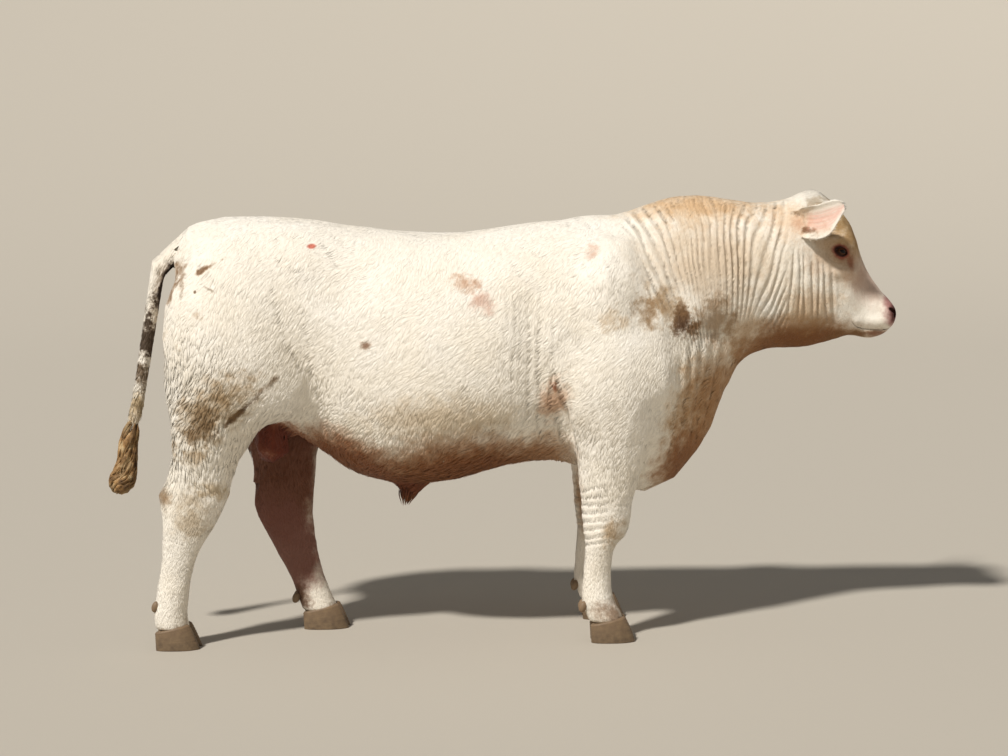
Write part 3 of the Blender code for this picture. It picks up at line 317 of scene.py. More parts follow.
# Small forms of the face and elbow that the hide adds to the body's masses.
SWELLS = table(Press, {
    "brow": ((1.1, 0.108, 1.298), (0.036, 0.036, 0.014), 0.0085),
    "eye hollow": ((1.062, 0.112, 1.262), (0.02, 0.03, 0.022), -0.004),
    "tear hollow": ((1.15, 0.092, 1.222), (0.022, 0.03, 0.016), -0.003),
    "cheek bone": ((1.118, 0.108, 1.196), (0.042, 0.03, 0.012), 0.004),
    "face hollow": ((1.165, 0.085, 1.15), (0.04, 0.04, 0.03), -0.0035),
    "jaw": ((1.04, 0.095, 1.065), (0.06, 0.04, 0.022), 0.004),
    "upper lip": ((1.228, 0.062, 1.032), (0.034, 0.036, 0.016), 0.005),
    "lip corner": ((1.176, 0.07, 1.028), (0.012, 0.03, 0.012), 0.003),
    "nostril wing": ((1.268, 0.066, 1.062), (0.012, 0.022, 0.016), 0.0035),
    "elbow pocket": ((0.19, 0.29, 0.765), (0.028, 0.08, 0.075), -0.011),
})


def made_object(name, mesh):
    obj = bpy.data.objects.new(name, mesh)
    bpy.context.scene.collection.objects.link(obj)
    return obj


def closed_mesh(name, vertices, faces):
    """A mesh whose faces all look outwards."""
    mesh = bpy.data.meshes.new(name)
    mesh.from_pydata([tuple(v) for v in vertices], [], faces)
    bm = bmesh.new()
    bm.from_mesh(mesh)
    bmesh.ops.recalc_face_normals(bm, faces=bm.faces)
    bm.to_mesh(mesh)
    bm.free()
    return mesh


def object_from(name, vertices, faces):
    return made_object(name, closed_mesh(name, vertices, faces))


def evaluated_mesh(obj):
    depsgraph = bpy.context.evaluated_depsgraph_get()
    return bpy.data.meshes.new_from_object(obj.evaluated_get(depsgraph))


def apply_modifiers(obj):
    """Turns the object's modifiers into its mesh."""
    mesh = evaluated_mesh(obj)
    obj.modifiers.clear()
    old, obj.data = obj.data, mesh
    if not old.users:
        bpy.data.meshes.remove(old)


def values_of(items, what, width, kind=float):
    """One value of every vertex, edge, face or corner, one row for each."""
    values = np.empty(len(items) * width, kind)
    items.foreach_get(what, values)
    return values.reshape(-1, width)


def read(mesh, what):
    """Values of the mesh's vertices, such as co or normal."""
    return values_of(mesh.vertices, what, 3)


def edge_pairs(mesh):
    return values_of(mesh.edges, "vertices", 2, np.int32)


def folded(points):
    """The points with those of the right side mirrored onto the left one."""
    return points * (1, 0, 1) + np.abs(points) * (0, 1, 0)


def both_sides(place):
    """A place and its mirror image, or the place alone on the middle plane."""
    x, y, z = place
    return [np.array((x, side * y, z)) for side in ((1, -1) if y else (1,))]


def round_angles(count):
    return [math.tau * k / count for k in range(count)]


def write_points(mesh, points):
    mesh.vertices.foreach_set("co", points.astype(np.float32).ravel())
    mesh.update()


def between(rows, steps):
    """Rows of numbers with steps - 1 rows added between each pair, on a Catmull-Rom curve."""
    rows = np.array(rows, float)
    padded = np.vstack([2 * rows[0] - rows[1], rows, 2 * rows[-1] - rows[-2]])
    made = []
    for i in range(len(rows) - 1):
        a, b, c, d = padded[i : i + 4]
        for k in range(steps):
            t = k / steps
            bend = 2 * a - 5 * b + 4 * c - d
            swing = 3 * b - a - 3 * c + d
            made.append(0.5 * (2 * b + (c - a) * t + bend * t**2 + swing * t**3))
    made.append(rows[-1])
    return made


def signed_power(value, power):
    return math.copysign(abs(value) ** power, value)


def loft(name, rings):
    """A closed skin over rings of equal counts, with a flat end at each side."""
    count = len(rings[0])
    vertices = [p for ring in rings for p in ring]
    faces = []
    for low in range(0, (len(rings) - 1) * count, count):
        for k in range(count):
            after = (k + 1) % count
            faces.append((low + k, low + after, low + count + after, low + count + k))
    faces.append(tuple(range(count)))
    faces.append(tuple(range((len(rings) - 1) * count, len(rings) * count)))
    return object_from(name, vertices, faces)


def section_ring(row):
    """The ring of one Section, given as its eight numbers."""
    top_x, top_z, low_x, low_z, half_width, widest, upper, lower = row
    top, bottom = Vector((top_x, 0, top_z)), Vector((low_x, 0, low_z))
    middle = bottom.lerp(top, widest)
    ring = []
    for turn in round_angles(RING_SIDES):
        above = math.cos(turn) >= 0
        power = 2 / (upper if above else lower)
        arm = (top - middle) if above else (middle - bottom)
        point = middle + arm * signed_power(math.cos(turn), power)
        point.y = half_width * signed_power(math.sin(turn), power)
        ring.append(point)
    return ring


def level_ring(row, side):
    height, rear, front, spread, half_width = row
    middle, half_depth = (rear + front) / 2, (front - rear) / 2
    return [
        Vector((middle + half_depth * math.cos(t), side * spread + half_width * math.sin(t), height))
        for t in round_angles(RING_SIDES)
    ]


def leg_body(levels, side, back=0.0):
    """A leg's loft. side is 1 for the left and -1 for the right, and back moves it rearwards."""
    rows = [(v.height, v.rear - back, v.front - back, v.spread, v.half_width) for v in levels.values()]
    return loft("leg", [level_ring(r, side) for r in between(rows, RINGS_BETWEEN)])


def ellipsoid(name, centre, radii, turn, segments=48, rings=32):
    bm = bmesh.new()
    bmesh.ops.create_uvsphere(bm, u_segments=segments, v_segments=rings, radius=1)
    place = Matrix.Translation(centre) @ turn @ Matrix.Diagonal((*radii, 1))
    bmesh.ops.transform(bm, matrix=place, verts=bm.verts)
    mesh = bpy.data.meshes.new(name)
    bm.to_mesh(mesh)
    bm.free()
    return made_object(name, mesh)


def mass_bodies():
    made = []
    for name, mass in MASSES.items():
        turn = Matrix.Rotation(mass.lean, 4, "Y")
        made += [ellipsoid(name, centre, mass.radii, turn) for centre in both_sides(mass.centre)]
    return made


def tube_rings(line, sides):
    """Rings square to a line of (x, z, radius) on the middle plane."""
    rings = []
    for i, (x, z, radius) in enumerate(line):
        before, after = line[max(i - 1, 0)], line[min(i + 1, len(line) - 1)]
        ahead = Vector((after[0] - before[0], 0, after[1] - before[1])).normalized()
        across = Vector((0, 1, 0))
        other = ahead.cross(across)
        centre = Vector((x, 0, z))
        turned = [(radius * math.cos(t), radius * math.sin(t)) for t in round_angles(sides)]
        rings.append([centre + across * a + other * b for a, b in turned])
    return rings


def along_line(line, share):
    """The point, radius and direction at a share of a line of (x, z, radius)."""
    place = min(share, 1.0) * (len(line) - 1)
    low = min(int(place), len(line) - 2)
    before, after = np.array(line[low]), np.array(line[low + 1])
    x, z, radius = before + (after - before) * (place - low)
    ahead = Vector((after[0] - before[0], 0, after[1] - before[1])).normalized()
    return Vector((x, 0, z)), radius, ahead


def ramp(value, low, high):
    """A smooth step from 0 at low to 1 at high."""
    t = np.clip((value - low) / (high - low), 0, 1)
    return t * t * (3 - 2 * t)


def toward(value, other, share):
    """The value drawn a share of the way to another one."""
    return value * (1 - share) + share * other


def wobble(points, size, seed):
    """A smooth random value from about -1 to 1 in lumps about size metres across."""
    draw = np.random.default_rng(seed)
    total = np.zeros(len(points))
    for _ in range(9):
        way = draw.normal(size=3)
        way *= draw.uniform(0.6, 1.5) * math.pi / size / np.linalg.norm(way)
        total += np.sin(points @ way + draw.uniform(0, math.tau))
    return np.clip(total / 2.6, -1.2, 1.2)


def press_field(points, presses):
    """How far each point moves along its normal under every Press, on both sides."""
    moved = np.zeros(len(points))
    for press in presses.values():
        for centre in both_sides(press.centre):
            away = (points - centre) / np.array(press.reach)
            moved += press.amount * np.exp(-(away**2).sum(1))
    return moved


def pleat_field(points, pleat):
    """A crease with a low swell at each side, fading out at both ends."""
    x, _, z = points.T
    t = (z - pleat.lower[1]) / (pleat.upper[1] - pleat.lower[1])
    line = pleat.lower[0] + (pleat.upper[0] - pleat.lower[0]) * t
    line = line + 0.0045 * wobble(points * (1.0, 1.0, 0.5), 0.07, int(abs(pleat.upper[0]) * 1000))
    away = (x - line) / pleat.half_width
    fade = ramp(t, -0.12, 0.2) * (1 - ramp(t, 0.72, 1.12))
    crease = -np.exp(-(away**2)) + 0.3 * np.exp(-((np.abs(away) - 2.3) ** 2))
    return pleat.depth * crease * fade


def fold_phase(points):
    """The number of the neck fold that a point lies on, counted round the fan."""
    x, _, z = points.T
    drawn_out = points * np.array((1.0, 0.6, 0.22))
    turn = np.arctan2(x - FOLD_FAN[0], z - FOLD_FAN[1])
    return turn / FOLD_ANGLE + 0.52 * wobble(drawn_out, 0.085, 5) + 0.1 * wobble(points, 0.1, 6)


def eye_creases(points):
    """Wrinkles that ring the eye, above it and below."""
    away = folded(points) - np.array(EYE_PLACE)
    reach = np.linalg.norm(away * (1.0, 0.7, 1.25), axis=1)
    ring = ramp(reach, 0.026, 0.031) * (1 - ramp(reach, 0.046, 0.06))
    wave = 1 + np.cos(math.tau * (reach - 0.031) / 0.0085)
    return -0.0013 * ring * wave * (0.4 + 0.6 * (np.abs(away[:, 2]) > 0.008))


def relief(points, normals):
    """The folds of the skin, as a height along its normal."""
    x, _, z = points.T
    drawn_out = points * np.array((1.0, 0.6, 0.3))
    facing = ramp(np.abs(normals[:, 1]), 0.15, 0.55)
    phase = fold_phase(points)
    floor = 1.0 + 0.1 * wobble(points, 0.12, 8) + 0.3 * ramp(-x, -0.62, -0.38)
    neck = ramp(x, 0.2, 0.46) * (1 - ramp(x, 0.9, 0.96)) * ramp(z, floor - 0.08, floor + 0.1)
    strength = np.clip(0.66 + 0.62 * wobble(drawn_out, 0.07, 9), 0.08, 1.3)
    strength *= 1 - 0.45 * ramp(z, 1.33, 1.43)
    valley = ((1 + np.cos(math.tau * phase)) / 2) ** 2.0
    fine = ((1 + np.cos(math.tau * (2 * phase + 0.4 * wobble(drawn_out, 0.06, 10)))) / 2) ** 1.5
    height = -neck * (0.0072 * valley * strength + 0.0013 * fine) * (0.12 + 0.88 * facing)
    for pleat in PLEATS:
        height += pleat_field(points, pleat) * facing
    rear = (1 - ramp(x, 0.3, 0.37)) * ramp(x, 0.1, 0.16) * (z < 0.6)
    for level in FOREARM_CREASES:
        bent = level + 0.16 * (x - 0.26) + 0.004 * wobble(points, 0.06, int(level * 1e4))
        height -= 0.0048 * np.exp(-(((z - bent) / 0.006) ** 2)) * rear
    ahead = ramp(x, -1.02, -0.94) * (x < -0.5) * (z < 0.6)
    for level in HOCK_CREASES:
        bent = level + 0.25 * (x + 0.93) + 0.004 * wobble(points, 0.06, int(level * 1e4))
        height -= 0.0034 * np.exp(-(((z - bent) / 0.0055) ** 2)) * ahead
    trunk = ramp(z, 0.55, 0.7) * (1 - ramp(x, 0.85, 0.95)) * (1 - 0.85 * neck)
    height += trunk * 0.0018 * wobble(points, 0.085, 12)
    height += trunk * 0.0009 * wobble(points, 0.035, 13)
    height += 0.0005 * wobble(points, 0.028, 14) * (1 - 0.7 * neck)
    return height + eye_creases(points) + press_field(points, SWELLS)


def coat_depth(points):
    """How far the skin lies inside the coat's outer surface."""
    x, _, z = points.T
    trunk = ramp(z, 0.45, 0.66)
    head = ramp(x, 0.88, 1.0)
    muzzle = ramp(x, 1.18, 1.27)
    depth = 0.001 + 0.0006 * trunk
    return toward(toward(depth, 0.0009, head), 0.0002, muzzle)


def relax(mesh, weight, repeats):
    """Evens out the points over the mesh where weight is above 0."""
    points = read(mesh, "co")
    edges = edge_pairs(mesh)
    edges = edges[(weight[edges[:, 0]] > 0) | (weight[edges[:, 1]] > 0)]
    count = len(points)
    near = np.maximum(np.bincount(edges.ravel(), minlength=count), 1)
    for _ in range(repeats):
        for axis in range(points.shape[1]):
            value = points[:, axis]
            total = np.bincount(edges[:, 0], value[edges[:, 1]], count)
            total += np.bincount(edges[:, 1], value[edges[:, 0]], count)
            points[:, axis] = value + 0.5 * weight * (total / near - value) * (near > 1)
    write_points(mesh, points)


def near_balls(points, balls):
    """1 at the centres of the balls, given as (x, y, z, reach) on both sides, fading to 0."""
    weight = np.zeros(len(points))
    for *place, reach in balls:
        for centre in both_sides(place):
            away = np.linalg.norm(points - centre, axis=1)
            weight = np.maximum(weight, 1 - ramp(away, reach * 0.6, reach))
    return weight


def combine(obj, tool, operation):
    """A Boolean with a closed tool, which is then removed."""
    step = obj.modifiers.new("step", "BOOLEAN")
    step.operation = operation
    step.object = tool
    step.solver = "MANIFOLD"
    before = len(obj.data.vertices)
    apply_modifiers(obj)
    bpy.data.objects.remove(tool)
    if len(obj.data.vertices) == before:
        raise RuntimeError(f"{operation} changed nothing on {obj.name}")


def join(objects, name):
    """One object that holds the meshes of several."""
    bm = bmesh.new()
    for obj in objects:
        bm.from_mesh(obj.data)
        bpy.data.objects.remove(obj)
    mesh = bpy.data.meshes.new(name)
    bm.to_mesh(mesh)
    bm.free()
    return made_object(name, mesh)


def body_form(voxel):
    """Trunk, head, legs and muscles fused into one smooth closed body."""
    rows = between(list(SPINE.values()), RINGS_BETWEEN)
    pieces = [loft("trunk", [section_ring(r) for r in rows])]
    pieces.append(leg_body(FORELEG, -1))
    pieces.append(leg_body(FORELEG, 1, back=0.012))
    pieces.append(leg_body(HINDLEG_RIGHT, -1))
    pieces.append(leg_body(HINDLEG_LEFT, 1))
    body = join(pieces + mass_bodies(), "hide")
    remesh = body.modifiers.new("fuse", "REMESH")
    remesh.mode = "VOXEL"
    remesh.voxel_size = voxel
    apply_modifiers(body)
    x, _, z = read(body.data, "co").T
    trunk = np.clip((z - 0.52) / 0.16, 0, 1) * np.clip((1.0 - x) / 0.15, 0, 1)
    group = body.vertex_groups.new(name="trunk")
    for index, weight in enumerate(0.14 + 0.86 * trunk):
        group.add([index], weight, "REPLACE")
    smooth = body.modifiers.new("soften", "SMOOTH")
    smooth.factor = 0.5
    smooth.iterations = round(80 * (0.009 / voxel) ** 2)
    smooth.vertex_group = "trunk"
    apply_modifiers(body)
    body.vertex_groups.clear()
    mesh = body.data
    points, normals = read(mesh, "co"), read(mesh, "normal")
    write_points(mesh, points + normals * press_field(points, PRESSES)[:, None])
    return body


def refine(obj, keep):
    """Splits each face whose middle keep(x, y, z) picks into four."""
    bm = bmesh.new()
    bm.from_mesh(obj.data)
    faces = [f for f in bm.faces if keep(f.calc_center_median())]
    edges = list({e for f in faces for e in f.edges})
    bmesh.ops.subdivide_edges(bm, edges=edges, cuts=1, use_grid_fill=True, smooth=0.0)
    bm.to_mesh(obj.data)
    bm.free()


def on_side(place, side):
    """A place of the left side, or its mirror image when side is -1."""
    return Vector((place[0], side * place[1], place[2]))


def eye_frame(side):
    """The eye's placing matrix: local Z looks out of the socket and local X runs along the slit."""
    out = Vector((math.sin(EYE_TURN), side * math.cos(EYE_TURN), 0.05)).normalized()
    along = Vector((math.cos(EYE_TURN), -side * math.sin(EYE_TURN), 0))
    along = (along * math.cos(EYE_SLANT) - Vector((0, 0, 1)) * math.sin(EYE_SLANT)).normalized()
    along = (along - out * along.dot(out)).normalized()
    up = out.cross(along)
    return Matrix((along, up, out)).transposed().to_4x4()


def slit_height(share):
    """Half the opening of the lids at a share of the slit's length from its middle, -1 to 1."""
    return LID_OPENING[1] * (1 - abs(share) ** 2.2) ** 0.9


def lid_rims(side):
    """The rounded margins of both lids, lying on the eyeball along the slit."""
    centre = on_side(EYE_PLACE, side)
    turn = eye_frame(side).to_3x3()
    reach = EYE_RADIUS + 0.0012
    steps = 28
    path = []
    for k in range(2 * steps):
        share = math.cos(math.pi * k / steps)
        up = slit_height(share) * (1 if k < steps else -1)
        along = LID_OPENING[0] * share
        deep = math.sqrt(max(reach**2 - along**2 - up**2, 1e-6))
        path.append(centre + turn @ Vector((along, up, deep)))
    rings = []
    for k, point in enumerate(path):
        ahead = (path[(k + 1) % len(path)] - path[k - 1]).normalized()
        out = (point - centre).normalized()
        across = ahead.cross(out).normalized()
        thick = 0.0019 + 0.0005 * (k < steps)
        turned = [(thick * math.cos(t), thick * math.sin(t)) for t in round_angles(8)]
        rings.append([point + out * a + across * b for a, b in turned])
    vertices = [p for ring in rings for p in ring]
    faces = []
    for k in range(len(rings)):
        low, high = 8 * k, 8 * ((k + 1) % len(rings))
        faces += [(low + j, low + (j + 1) % 8, high + (j + 1) % 8, high + j) for j in range(8)]
    return object_from("lid_rims", vertices, faces)


def almond(side):
    """The opening between the lids, a wedge that narrows to both corners of the eye."""
    centre = on_side(EYE_PLACE, side)
    turn = eye_frame(side).to_3x3()
    steps = 20
    rings = []
    for deep, wide in ((0.006, 0.86), (0.02, 1.0), (0.034, 1.12)):
        ring = []
        for k in range(2 * steps):
            share = math.cos(math.pi * (k + 0.5) / steps)
            up = max(slit_height(share), 0.0004) * (1 if k < steps else -1)
            ring.append(centre + turn @ Vector((LID_OPENING[0] * share, up * wide, deep)))
        rings.append(ring)
    return loft("opening", rings)


def open_eye(skin, side):
    centre = on_side(EYE_PLACE, side)
    turn = eye_frame(side)
    lid = EYE_RADIUS + LID_THICKNESS
    combine(skin, ellipsoid("lids", centre, (lid, lid * 0.9, lid), turn), "UNION")
    combine(skin, almond(side), "DIFFERENCE")
    combine(skin, lid_rims(side), "UNION")
    combine(skin, ellipsoid("socket", centre, (EYE_RADIUS + 0.0005,) * 3, turn, 64, 40), "DIFFERENCE")


def nostril(skin, side):
    """A comma-shaped pit: a deep round hole with a shallow slit that curls up and outwards."""
    for centre, radii, lean in NOSTRIL.values():
        place = on_side(centre, side)
        turn = Matrix.Rotation(side * NOSTRIL_TURN, 4, "Z") @ Matrix.Rotation(lean, 4, "X")
        combine(skin, ellipsoid("nostril", place, radii, turn), "DIFFERENCE")


def mouth(skin):
    """A groove along the line of the mouth, with the lips' inside closing it."""
    line = between([(x, z, 0) for x, z in MOUTH_LINE], 6)
    corners = []
    for k, (x, z, _) in enumerate(line):
        half = 0.5 * MOUTH_GAP * min(1.0, 0.3 + k / 6)
        for y in (-0.2, 0.2):
            for up in (-half, half):
                corners.append(Vector((x, y, z + up)))
    faces = [(0, 1, 3, 2)]
    for i in range(len(line) - 1):
        a, b = 4 * i, 4 * i + 4
        faces += [(a, b, b + 1, a + 1), (a + 2, a + 3, b + 3, b + 2)]
        faces += [(a, a + 2, b + 2, b), (a + 1, b + 1, b + 3, a + 3)]
    faces.append((a + 4, a + 6, a + 7, a + 5))
    combine(skin, object_from("mouth_line", corners, faces), "DIFFERENCE")
    names = list(SPINE)
    rows = []
    for name in names[names.index("cheeks") :]:
        s = SPINE[name]
        top, bottom = Vector((s.top_x, 0, s.top_z)), Vector((s.low_x, 0, s.low_z))
        inward = (bottom - top).normalized() * MOUTH_DEPTH
        top, bottom = top + inward, bottom - inward
        back = MOUTH_DEPTH if name in ("muzzle pad", "muzzle end") else 0.0
        ends = (top.x - back, top.z, bottom.x - back, bottom.z)
        rows.append((*ends, s.half_width - MOUTH_DEPTH, s.widest, s.upper, s.lower))
    core = loft("mouth_core", [section_ring(r) for r in between(rows[:-1], 4)])
    combine(skin, core, "UNION")


def ear_blade(along, across):
    """The left ear's middle surface: points by row from root to tip and by column from its upper
    edge to its lower one, with how far each lies along the blade and across it."""
    upper, lower = np.array(between(EAR_UPPER, along)), np.array(between(EAR_LOWER, along))
    share = np.linspace(0, 1, len(upper))[:, None]
    t = np.linspace(0, 1, across + 1)[None, :]
    bow = 4 * t * (1 - t)
    deep = EAR_CUP * (1 - 0.75 * share)
    points = upper[:, None] * (1 - t[..., None]) + lower[:, None] * t[..., None]
    points = points - EAR_FACES * (deep * bow**0.7)[..., None]
    return points, share + 0 * t, t + 0 * share


def ear(side):
    """A thick leaf cupped between its two edges, with ridges along its hollow. Its root is sunk."""
    points, share, t = ear_blade(9, 26)
    bow = 4 * t * (1 - t)
    half = EAR_THICKNESS * (1.5 - 0.9 * share) / 2 * (0.4 + 0.6 * bow**0.5)
    ridge = 0.0016 * np.sin(math.tau * 3.5 * t) ** 2 * bow**0.5 * (1 - share) ** 0.5
    front = points + EAR_FACES * (half + ridge)[..., None]
    back = points - EAR_FACES * half[..., None]
    flip = np.array((1, side, 1))
    rings = [[Vector(p) for p in np.vstack([b * flip, (f * flip)[::-1]])] for b, f in zip(back, front)]
    return loft("ear", rings)


def hanging(name, line):
    rings = [
        [Vector((x + length * math.cos(t), width * math.sin(t), z)) for t in round_angles(40)]
        for z, x, length, width in between(line, 6)
    ]
    return loft(name, rings)


def tail_core():
    """The fleshy tail and the core of its switch, which the locks wrap."""
    line = [tuple(row) for row in between(TAIL_LINE + SWITCH_LINE, 6)]
    start = 6 * (len(TAIL_LINE) - 1)
    core = []
    for i, (x, z, radius) in enumerate(line[:-3]):
        inside = ramp(np.float64(i), start, start + 8)
        core.append((x, z, radius * (0.97 - 0.5 * inside)))
    return loft("tail", tube_rings(core, 24)), line[start:]


def under_coronet(levels, side, back):
    """All that lies below the top of one foot's horn, as a wedge to cut away."""
    coronet = levels["coronet"]
    rear, front = coronet.rear - back, coronet.front - back
    middle, spread = (rear + front) / 2, side * coronet.spread
    corners = []
    for x in (rear - 0.06, front + 0.08):
        high = CORONET_HEIGHT + CORONET_SLOPE * (x - middle) - 0.007
        for y in (spread - 0.09, spread + 0.09):
            corners += [Vector((x, y, -0.2)), Vector((x, y, high))]
    faces = [(0, 1, 3, 2), (4, 6, 7, 5), (0, 4, 5, 1), (2, 3, 7, 6), (0, 2, 6, 4), (1, 5, 7, 3)]
    return object_from("below", corners, faces)


def largest(obj):
    """Keeps only the closed surface with the most vertices."""
    mesh = obj.data
    count = len(mesh.vertices)
    edges = edge_pairs(mesh)
    label = np.arange(count)
    while True:
        low = np.minimum(label[edges[:, 0]], label[edges[:, 1]])
        new = label.copy()
        np.minimum.at(new, edges[:, 0], low)
        np.minimum.at(new, edges[:, 1], low)
        new = new[new]
        if (new == label).all():
            break
        label = new
    names, sizes = np.unique(label, return_counts=True)
    if len(names) > 1:
        keep = names[sizes.argmax()]
        bm = bmesh.new()
        bm.from_mesh(mesh)
        bm.verts.ensure_lookup_table()
        bmesh.ops.delete(bm, geom=[v for v in bm.verts if label[v.index] != keep], context="VERTS")
        bm.to_mesh(mesh)
        bm.free()


LEGS = (
    ("fore_right", FORELEG, -1, 0.0),
    ("fore_left", FORELEG, 1, 0.012),
    ("hind_right", HINDLEG_RIGHT, -1, 0.0),
    ("hind_left", HINDLEG_LEFT, 1, 0.0),
)
# Places where a piece joins the body, as x, y, z and the reach of the smoothing there.
EAR_ROOTS = [(0.962, 0.104, 1.395, 0.038), (0.972, 0.112, 1.35, 0.045), (0.97, 0.11, 1.312, 0.036)]
NOSTRIL_EDGES = [(1.29, 0.052, 1.048, 0.03)]
MOUTH_EDGES = [(1.165, 0.06, 1.015, 0.02), (1.205, 0.06, 1.001, 0.022), (1.25, 0.05, 0.998, 0.025)]
TAIL_ROOT = [(-1.075, 0.0, 1.285, 0.075), (-1.1, 0.0, 1.235, 0.06)]


def lid_ring_weight(points):
    """1 where the lids meet the face, and 0 on their margins."""
    weight = np.zeros(len(points))
    for centre in both_sides(EYE_PLACE):
        away = np.linalg.norm(points - centre, axis=1)
        weight = np.maximum(weight, ramp(away, 0.0245, 0.027) * (1 - ramp(away, 0.036, 0.046)))
    return weight


def skin_form(voxel):
    """The whole hide as one closed surface, just inside the coat."""
    body = body_form(voxel)
    refine(body, lambda c: c.x > 0.22 and c.z > 0.96 or 0.0 < c.x < 0.26 and 0.6 < c.z < 1.2)
    refine(body, lambda c: c.x > 0.945 and abs(c.y) > 0.03 and c.z < 1.33)
    mesh = body.data
    relax(mesh, np.full(len(mesh.vertices), 0.7), 4)
    points, normals = read(mesh, "co"), read(mesh, "normal")
    height = relief(points, normals) - coat_depth(points)
    write_points(mesh, points + normals * height[:, None])
    for side in (1, -1):
        combine(body, ear(side), "UNION")
    relax(body.data, near_balls(read(body.data, "co"), EAR_ROOTS), 14)
    for side in (1, -1):
        open_eye(body, side)
        nostril(body, side)
    mouth(body)
    core, switch_line = tail_core()
    combine(body, core, "UNION")
    combine(body, hanging("sheath", SHEATH), "UNION")
    combine(body, hanging("scrotum", SCROTUM), "UNION")
    for _, levels, side, back in LEGS:
        combine(body, under_coronet(levels, side, back), "DIFFERENCE")
    largest(body)
    points = read(body.data, "co")
    relax(body.data, near_balls(points, TAIL_ROOT), 12)
    relax(body.data, 0.8 * near_balls(points, NOSTRIL_EDGES + MOUTH_EDGES), 3)
    relax(body.data, lid_ring_weight(points), 10)
    return body, switch_line


def detail_weight(points):
    """How freely the mesh may be thinned at each point: low on the head and neck, 1 elsewhere."""
    x, _, z = points.T
    head = ramp(x, 0.88, 0.95)
    neck = ramp(x, 0.22, 0.36) * ramp(z, 0.94, 1.05)
    feet = 1 - ramp(z, 0.1, 0.5)
    free = np.ones(len(points)) - 0.88 * head
    free = np.minimum(free, 1 - 0.8 * neck)
    elbow = ramp(x, -0.02, 0.02) * (1 - ramp(x, 0.24, 0.28)) * ramp(z, 0.58, 0.62)
    elbow *= 1 - ramp(z, 1.1, 1.2)
    free = np.minimum(free, 1 - 0.7 * elbow)
    chest = ramp(x, 0.5, 0.56) * ramp(z, 0.56, 0.64) * (1 - ramp(x, 0.8, 0.86))
    free = np.minimum(free, 1 - 0.72 * chest)
    forearm = ramp(x, 0.22, 0.25) * (1 - ramp(x, 0.33, 0.37)) * ramp(z, 0.27, 0.31)
    forearm *= 1 - ramp(z, 0.52, 0.58)
    free = np.minimum(free, 1 - 0.7 * forearm)
    free = np.minimum(free, 1 - 0.35 * feet)
    for centre, reach in ((EYE_PLACE, 0.04), ((1.285, 0.05, 1.045), 0.045)):
        free = np.minimum(free, 1 - 0.97 * near_balls(points, [(*centre, reach)]))
    return free


def thin_out(obj, triangles):
    """Collapses edges down to a count of triangles, and keeps detail where detail_weight is low."""
    group = obj.vertex_groups.new(name="free")
    free = np.round(detail_weight(read(obj.data, "co")), 2)
    for value in np.unique(free):
        group.add(np.flatnonzero(free == value).tolist(), float(value), "REPLACE")
    obj.data.calc_loop_triangles()
    step = obj.modifiers.new("thin", "DECIMATE")
    step.ratio = min(1.0, triangles / len(obj.data.loop_triangles))
    step.use_collapse_triangulate = True
    step.vertex_group = "free"
    step.vertex_group_factor = 6.0
    apply_modifiers(obj)
    obj.vertex_groups.clear()

# Parts of the hide, each with its own coat piece.
PARTS = ("head", "neck", "shoulder", "barrel", "rump")
REGIONS = [f"{part}_{side}" for part in PARTS for side in ("right", "left")]
REGIONS += ["forelegs", "hindlegs", "tail"]
# The side of a tuft's patch in the bake's chart, and the gap between charts, in metres
PATCH = 0.003
CHART_GAP = 0.012
# The share of a tuft's own normal in its shading, which is else the skin's
OWN_NORMAL = 0.6
# The tufts' shapes, each as its bend aside and how far its ridge is off its middle
TUFTS = ((0.0, 0.0), (0.35, 1.0), (-0.35, -1.0), (0.75, 0.5), (-0.7, 0.5))
# What the skin tells its coat. It is taken off again once the coat has grown.
GUIDES = ("region", "lie", "hair", "growth", "lift", "chart", "outward", "hug")


def ear_places(points, normals):
    """For each point how much it is on an ear, in its hollow, and how far along and across."""
    blade, share, t = ear_blade(8, 16)
    blade, share, t = blade.reshape(-1, 3), share.ravel(), t.ravel()
    left = folded(points)
    on, along, across = np.zeros(len(points)), np.zeros(len(points)), np.full(len(points), 0.5)
    low, high = blade.min(0) - 0.015, blade.max(0) + 0.015
    near = np.flatnonzero(((left > low) & (left < high)).all(1))
    for part in np.array_split(near, 1 + len(near) // 4000):
        away = np.linalg.norm(left[part][:, None] - blade[None], axis=2)
        best = away.argmin(1)
        on[part] = (1 - ramp(away.min(1), 0.0085, 0.0125)) * ramp(share[best], 0.24, 0.36)
        along[part], across[part] = share[best], t[best]
    way = normals[:, 0] * EAR_FACES[0] + normals[:, 1] * np.sign(points[:, 1]) * EAR_FACES[1]
    way += normals[:, 2] * EAR_FACES[2]
    return on, on * ramp(way, 0.1, 0.4), along, across


def on_tail(points):
    x, y, z = points.T
    edge = -1.085 - 0.12 * np.clip((1.3 - z) / 0.3, 0, 1) ** 2
    return ramp(edge - x, -0.01, 0.01) * (np.abs(y) < 0.06)


def eye_distance(points):
    """The distance of each point from the nearer eye's centre."""
    return np.linalg.norm(folded(points) - np.array(EYE_PLACE), axis=1)


def region_of(points):
    """The number of the region that each point lies in."""
    x, y, z = points.T
    edges = []
    for (top_x, top_z), (low_x, low_z) in (HEAD_CUT, NECK_CUT):
        edges.append(low_x + (z - low_z) * (top_x - low_x) / round(top_z - low_z, 2))
    pair = np.select([x > edges[0], x > edges[1], x > 0.11, x > -0.5], [0, 2, 4, 6], 8)
    region = pair + (y > 0)
    region = np.where((z < 0.6) & (x > 0.12) & (x < 0.5) & (np.abs(y) > 0.09), 10, region)
    region = np.where((z < 0.64) & (x < -0.46), 11, region)
    return np.where(on_tail(points) > 0.5, 12, region)


